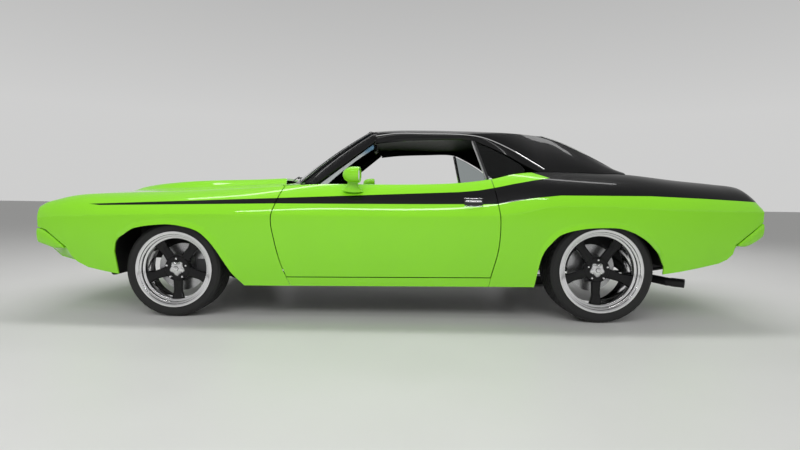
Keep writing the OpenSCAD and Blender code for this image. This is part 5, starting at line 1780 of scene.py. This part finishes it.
@dataclass
class EngineBay:
    """What shows under the raised hood, set on the plain engine block."""

    paint: Finishes
    bank_y: float = 286.0
    bank_z: float = 694.0
    cleaner_r: float = 0.196
    hose: float = 0.044
    lead: float = 0.009
    blades: int = 6
    fan_at: tuple = (-470.0, 0.0, 560.0)

    def build(self) -> None:
        """Makes the engine's covers and the parts round it."""
        f = self.paint
        covers = [sweep(place(np.linspace(-310, 390, 8), side.value * self.bank_y, self.bank_z),
                        oval(0.13, 0.085, 28, 0.4),
                        (0.0, side.value * 0.62, 0.78), np.array([0.9, 0.98, 1, 1, 1, 1, 0.98, 0.9]))
                  for side in Side]
        make_piece("valve_covers", covers, [f.chrome], "steel", sharp=45.0)
        r = self.cleaner_r
        lid = revolve([(0.002, 0.026), (0.05, 0.024), (r - 0.03, 0.015), (r - 0.006, 0.009), (r, 0.004), (r, 0.0),
                       (0.002, 0.0)],
                      place(0.0, 0.0, 836.0), UP, 96)
        nut = revolve([(0.001, 0.045), (0.007, 0.044), (0.010, 0.036), (0.010, 0.024), (0.001, 0.024)],
                      place(0.0, 0.0, 836.0), UP, 6)
        make_piece("air_cleaner_lid", [lid, nut], [f.chrome], "steel")
        core = [slab((-800, -748), (-340, 340), (445, 700), 0.08), slab((-806, -742), (-350, 350), (690, 716), 0.3),
                slab((-806, -742), (-350, 350), (428, 452), 0.3)]
        make_piece("radiator", core, [f.chassis], "chassis_black")
        make_piece("fan", self.fan(), [f.steel, f.chassis], "steel")
        hoses = [sweep(smooth_path([(-742, 210, 684), (-640, 200, 716), (-480, 110, 752), (-330, 60, 742)]),
                       oval(self.hose, self.hose)),
                 sweep(smooth_path([(-742, -210, 470), (-620, -220, 440), (-470, -150, 450), (-335, -90, 480)]),
                       oval(self.hose, self.hose))]
        make_piece("radiator_hoses", hoses, [f.rubber], "trim")
        battery = [slab((-700, -460), (255, 420), (446, 640)), slab((-705, -455), (250, 425), (640, 656), 0.3)]
        make_piece("battery", battery, [f.trim], "trim")
        booster = [revolve([(0.002, 0.0), (0.112, 0.0), (0.118, 0.02), (0.112, 0.06), (0.09, 0.08), (0.03, 0.09),
                            (0.03, 0.23),
                            (0.002, 0.235)], place(640.0, -370.0, 640.0), FORE, 64, closed=False)]
        make_piece("brake_booster", booster, [f.soot], "chassis_black")
        leads = [sweep(smooth_path([(360, side.value * 30, 800), (260 - 60 * k, side.value * 130, 812 - 6 * k),
                                    (150 - 150 * k, side.value * 250, 752), (130 - 150 * k, side.value * 300, 735)],
                                   20),
                       oval(self.lead, self.lead, 8)) for side in Side for k in range(4)]
        cap = revolve([(0.001, 0.06), (0.02, 0.06), (0.045, 0.04), (0.048, 0.0), (0.048, -0.03), (0.001, -0.03)],
                      place(370.0, 0.0, 780.0), UP, 48)
        make_piece("ignition_leads", [cap, *leads], [f.trim], "trim")

    def fan(self) -> list[Part]:
        """Fan of six twisted blades on the front of the engine.

        Returns:
            The hub and the blades.
        """
        centre = place(*self.fan_at)
        hub = revolve([(0.002, 0.05), (0.05, 0.045), (0.06, 0.02), (0.06, -0.13), (0.002, -0.13)], centre, FORE, 48,
                      1)
        blades = []
        reach = np.linspace(0.05, 0.2, 10)
        for k in range(self.blades):
            a = 2 * math.pi * k / self.blades
            out = np.array([0.0, math.cos(a), math.sin(a)])
            twist = np.cross(FORE, out) * 0.85 + FORE * 0.5
            blades.append(sweep(centre + reach[:, None] * out, oval(0.003, 0.085, 16, 0.6), twist))
        return [hub, *blades]


@dataclass
class Details:
    """Small trim of the nose, tail, screen, doors, cabin and trunk."""

    shape: BodyShape
    paint: Finishes
    lamp_r: float = 0.056
    lamp_x: float = -852.0
    lamp_y: tuple = (566.0, 706.0)
    lamp_z: float = 634.0
    grille_half: float = 484.0
    grille_z: tuple = (583.0, 690.0)
    tail_y: tuple = (90.0, 760.0)
    tail_z: tuple = (690.0, 768.0)

    def build(self) -> None:
        """Makes each group of trim."""
        f = self.paint
        r = self.lamp_r
        bezels = [revolve([(r + 0.001, 0.0), (r + 0.008, 0.0), (r + 0.009, 0.016), (r + 0.005, 0.024),
                           (r + 0.001, 0.021)],
                          place(self.lamp_x, side.value * y, self.lamp_z), FORE, 72) for side in Side
                  for y in self.lamp_y]
        make_piece("headlamp_bezels", bezels, [f.chrome], "steel")
        half = self.grille_half
        bars = [sweep(place(-872.0, np.linspace(-half, half, 30), z), oval(0.010, 0.008, 12, 0.6))
                for z in self.grille_z[::-1]]
        bars += [sweep(place(-874.0, side.value * half, np.linspace(*self.grille_z, 8)), oval(0.010, 0.010, 12, 0.6),
                       (0, 1, 0))
                 for side in Side]
        make_piece("grille_surround", bars, [f.grey], "steel")
        frames = []
        for side in Side:
            y0, y1 = (side.value * y for y in self.tail_y)
            frames += [sweep(place(3856.0, np.linspace(y0, y1, 20), z), oval(0.008, 0.008, 12, 0.6))
                       for z in self.tail_z]
            frames += [sweep(place(3856.0, y, np.linspace(*self.tail_z, 6)), oval(0.008, 0.008, 12, 0.6), (0, 1, 0))
                       for y in (y0, y1, blend(y0, y1, 0.34), blend(y0, y1, 0.67))]
        make_piece("tail_lamp_frames", frames, [f.chrome], "steel")
        # x, outboard middle, half width, bottom and top of the plates in the wheel houses
        walls = ((-402, 690, 195, 266, 640), (478, 690, 190, 270, 600), (2322, 725, 130, 262, 600),
                 (3214, 720, 170, 372, 640))
        plates = [slab((x, x + 6), (side.value * y - half, side.value * y + half), (low, top), 0.2)
                  for x, y, half, low, top in walls for side in Side]
        make_piece("splash_plates", plates, [f.under], "chassis_black")
        self.wipers()
        self.door_trim()
        self.dash_trim()
        self.trunk_trim()

    def wipers(self) -> None:
        """Two wipers parked along the foot of the windshield."""
        s, f = self.shape, self.paint
        parts = []
        for start, end in ((-0.62, -0.02), (0.1, 0.7)):
            u = np.linspace(start, end, 30)
            blade = s.screen_at(u, np.linspace(0.05, 0.075, 30)) + [-0.010, 0.0, 0.012]
            arm = s.screen_at(np.linspace(start - 0.1, (start + end) / 2, 20),
                              np.linspace(-0.02, 0.068, 20)) + [-0.016, 0, 0.018]
            parts += [sweep(blade, oval(0.008, 0.014, 10), (-0.5, 0, 0.8)),
                      sweep(arm, oval(0.012, 0.007, 10), (-0.5, 0, 0.8))]
        make_piece("wipers", parts, [f.trim], "trim")

    def door_trim(self) -> None:
        """Armrest, pull and window crank inside each door."""
        f = self.paint
        for side in Side:
            word = side.name.lower()
            ends = np.clip(np.sin(np.linspace(0.05, 0.95, 30) * np.pi), 0, 1) ** 0.3
            rest = sweep(smooth_path([(1230, 838, 560), (1400, 832, 585), (1600, 830, 605), (1790, 836, 640)]),
                         oval(0.075, 0.065, 20, 0.5), scale=ends)
            pull = sweep(smooth_path([(1270, 862, 690), (1285, 838, 694), (1400, 836, 700), (1415, 862, 702)]),
                         oval(0.012, 0.020, 14, 0.7))
            crank = sweep(smooth_path([(1640, 852, 470), (1600, 842, 490), (1545, 838, 520)], 12),
                          oval(0.012, 0.018, 12))
            boss = revolve([(0.001, 0.03), (0.02, 0.028), (0.028, 0.0), (0.001, 0.0)], place(1640.0, 864.0, 470.0),
                           np.array([0.0, -1.0, 0.0]), 40)
            parts = [p.mirrored(side) for p in (rest, pull, crank, boss)]
            for part in parts[1:]:
                part.finish = [1] * len(part.faces)
            make_piece(f"{word}_door_trim", parts, [f.hide, f.chrome], "seat_vinyl", sharp=45.0, body=f"{word}_door")

    def dash_trim(self) -> None:
        """Gauges on the dash's sloping face, console with shift lever, and inside mirror."""
        f = self.paint
        face = np.array([0.914, 0.0, 0.406])
        dials, rings = [], []
        # Outboard place and radius of each gauge
        for y, r in ((-520, 0.038), (-425, 0.050), (-315, 0.050), (-220, 0.038)):
            at = place(981.0, float(y), 803.0)
            dials.append(revolve([(0.001, 0.006), (r - 0.004, 0.006), (r - 0.004, -0.004), (0.001, -0.004)], at, face,
                                 48))
            rings.append(revolve([(r - 0.004, -0.004), (r + 0.003, -0.004), (r + 0.003, 0.010), (r, 0.013),
                                  (r - 0.004, 0.008)],
                                 at, face, 48, 1))
        make_piece("gauges", dials + rings, [f.trim, f.chrome], "trim")
        lever = sweep(smooth_path([(1300, 0, 470), (1296, -4, 560), (1316, -8, 640)], 16), oval(0.014, 0.014, 12),
                      (1, 0, 0), finish=1)
        knob = revolve([(0.001, 0.026), (0.016, 0.020), (0.024, 0.004), (0.020, -0.014), (0.008, -0.022),
                        (0.001, -0.022)],
                       place(1317.0, -8.0, 655.0), np.array([0.1, 0.0, 0.995]), 40)
        console = [slab((1060, 1960), (-105, 105), (421, 476), 0.2), knob, lever]
        make_piece("console", console, [f.trim, f.chrome], "trim", sharp=45.0)
        mirror = [slab((1262, 1286), (-118, 118), (1168, 1226), 0.4),
                  sweep(smooth_path([(1268, 0, 1200), (1252, 0, 1250), (1250, 0, 1284)], 10), oval(0.010, 0.010, 10),
                        (1, 0, 0))]
        make_piece("inside_mirror", mirror, [f.trim], "trim")

    def trunk_trim(self) -> None:
        """Liners that close the trunk's sides between its floor and the quarter panels."""
        s, f = self.shape, self.paint
        x, v = np.linspace(2700, 3816, 48)[:, None], np.linspace(0, 1, 16)[None]
        y = blend(496.0, s.inner_y(np.maximum(x, 3070)) + 8, ease(v) * 0.6 + 0.4 * v)
        z = blend(632.0, s.side(x, 5) - 24, v)
        liner = shell(place(x, y, z), place(x, y + 4, z - 3), 0)
        sill = slab((3655, 3818), (-520, 520), (626, 636), 0.3)
        make_piece("trunk_liners", [outward(liner.mirrored(side)) for side in Side] + [sill], [f.lining], "trim")


@dataclass
class Stage:
    """Floor, lights and camera."""

    lens: float = 22.95
    eye: tuple = (0.0015, -4.1884, 0.7861)
    right: tuple = (0.99989, -0.00093, 0.01453)
    up: tuple = (-0.01447, 0.04873, 0.99871)
    forward: tuple = (0.00163, 0.99881, -0.04871)
    aim: tuple = (0.0, 0.0, 0.6)
    floor_half: float = 60.0

    def build(self) -> None:
        """Sets the stage for a soft studio picture from the car's left."""
        scene = bpy.context.scene
        scene.view_settings.view_transform = "Standard"
        data = bpy.data.cameras.new("camera")
        data.lens, data.sensor_width = self.lens, 36.0
        camera = bpy.data.objects.new("camera", data)
        turn = Matrix([self.right, self.up, [-c for c in self.forward]]).transposed().to_4x4()
        camera.matrix_world = Matrix.Translation(self.eye) @ turn
        scene.collection.objects.link(camera)
        scene.camera = camera
        self.floor()
        self.world(scene)
        self.lamp("overhead", (0.0, 0.3, 4.6), (0, 0, 0), 6.5, 1.0, 94.0, False)
        self.lamp("overhead_strip", (0.0, 0.3, 4.5), (0, 0, 0), 6.5, 0.3, 36.0)
        for side, watts in ((Side.LEFT, 220.0), (Side.RIGHT, 180.0)):
            word, way = side.name.lower(), side.value
            self.lamp(f"{word}_fill", (way * 1.0, way * 6.0, 4.2), self.aim, 7.0, 2.0, watts, False)
            self.lamp(f"{word}_strip", (way * 0.4, way * 3.6, 5.0), self.aim, 5.0, 0.16, 30.0)

    def lamp(self, name: str, at: Sequence[float], to: Sequence[float], wide: float, deep: float, watts: float,
             mirrored: bool = True) -> None:
        """Adds a large soft lamp.

        Args:
            name: the lamp's name.
            at: its place.
            to: the point that it faces.
            wide: its width.
            deep: its depth.
            watts: its power.
            mirrored: whether glossy surfaces show it.
        """
        data = bpy.data.lights.new(name, "AREA")
        data.shape, data.size, data.size_y, data.energy = "RECTANGLE", wide, deep, watts
        lamp = bpy.data.objects.new(name, data)
        lamp.location = at
        lamp.rotation_euler = (Vector(to) - Vector(at)).to_track_quat("-Z", "Y").to_euler()
        lamp.visible_glossy = lamp.visible_transmission = mirrored
        bpy.context.scene.collection.objects.link(lamp)

    def floor(self) -> None:
        """Adds a wide pale floor, a square about the origin."""
        mesh = bpy.data.meshes.new("floor")
        mesh.from_pydata([(a * self.floor_half, b * self.floor_half, 0)
                          for a, b in ((-1, -1), (1, -1), (1, 1), (-1, 1))],
                         [], [[0, 1, 2, 3]])
        m = Maker("pale_floor")
        vector, *_ = m.coordinates()
        cloud = m.noise(vector, 1.5)
        mesh.materials.append(m.finish(base_color=m.mix(cloud, (0.60, 0.60, 0.59), (0.64, 0.64, 0.63)),
                                       roughness=cloud * 0.1 + 0.38))
        floor = bpy.data.objects.new("floor", mesh)
        bpy.context.scene.collection.objects.link(floor)

    def world(self, scene: bpy.types.Scene) -> None:
        """Lights the scene from a pale grey world that darkens overhead.

        Args:
            scene: the scene to light.
        """
        world = bpy.data.worlds.new("studio")
        scene.world = world
        world.use_nodes = True
        n = Nodes(world.node_tree)
        vector = Wire(n, n.node("ShaderNodeTexCoord").outputs["Generated"])
        height = Wire(n, n.node("ShaderNodeSeparateXYZ", None, {0: vector}).outputs["Z"])
        ramp = n.node("ShaderNodeMapRange", None, {"Value": height, "From Min": 0.15, "From Max": 0.75,
                                                   "To Min": 0.62, "To Max": 0.24})
        back = n.tree.nodes["Background"]
        n.join(Wire(n, ramp.outputs["Result"]), back.inputs["Strength"])
        n.join((1.0, 1.0, 0.995, 1.0), back.inputs["Color"])


def main() -> None:
    """Builds every sub-assembly in order."""
    logging.basicConfig(level=logging.INFO, format="%(name)s %(message)s")
    finishes = Finishes()
    finishes.dress_nodes()
    shape = BodyShape()
    Stage().build()
    BodyPanels(shape, finishes).build()
    Glazing(shape, finishes).build()
    DoorFurniture(shape, finishes).build()
    for side in Side:
        word = side.name.lower()
        WheelSet(f"front_{word}", side, 0.0, 1522.0, 312.0, 248.0, 226.0, 20.0, -66.0, finishes).build()
        WheelSet(f"rear_{word}", side, 2794.0, 1516.0, 341.0, 274.0, 272.0, 22.0, -89.0, finishes).build()
    Cabin(finishes).build()
    EngineBay(finishes).build()
    Details(shape, finishes).build()


if __name__ == "__main__":
    main()
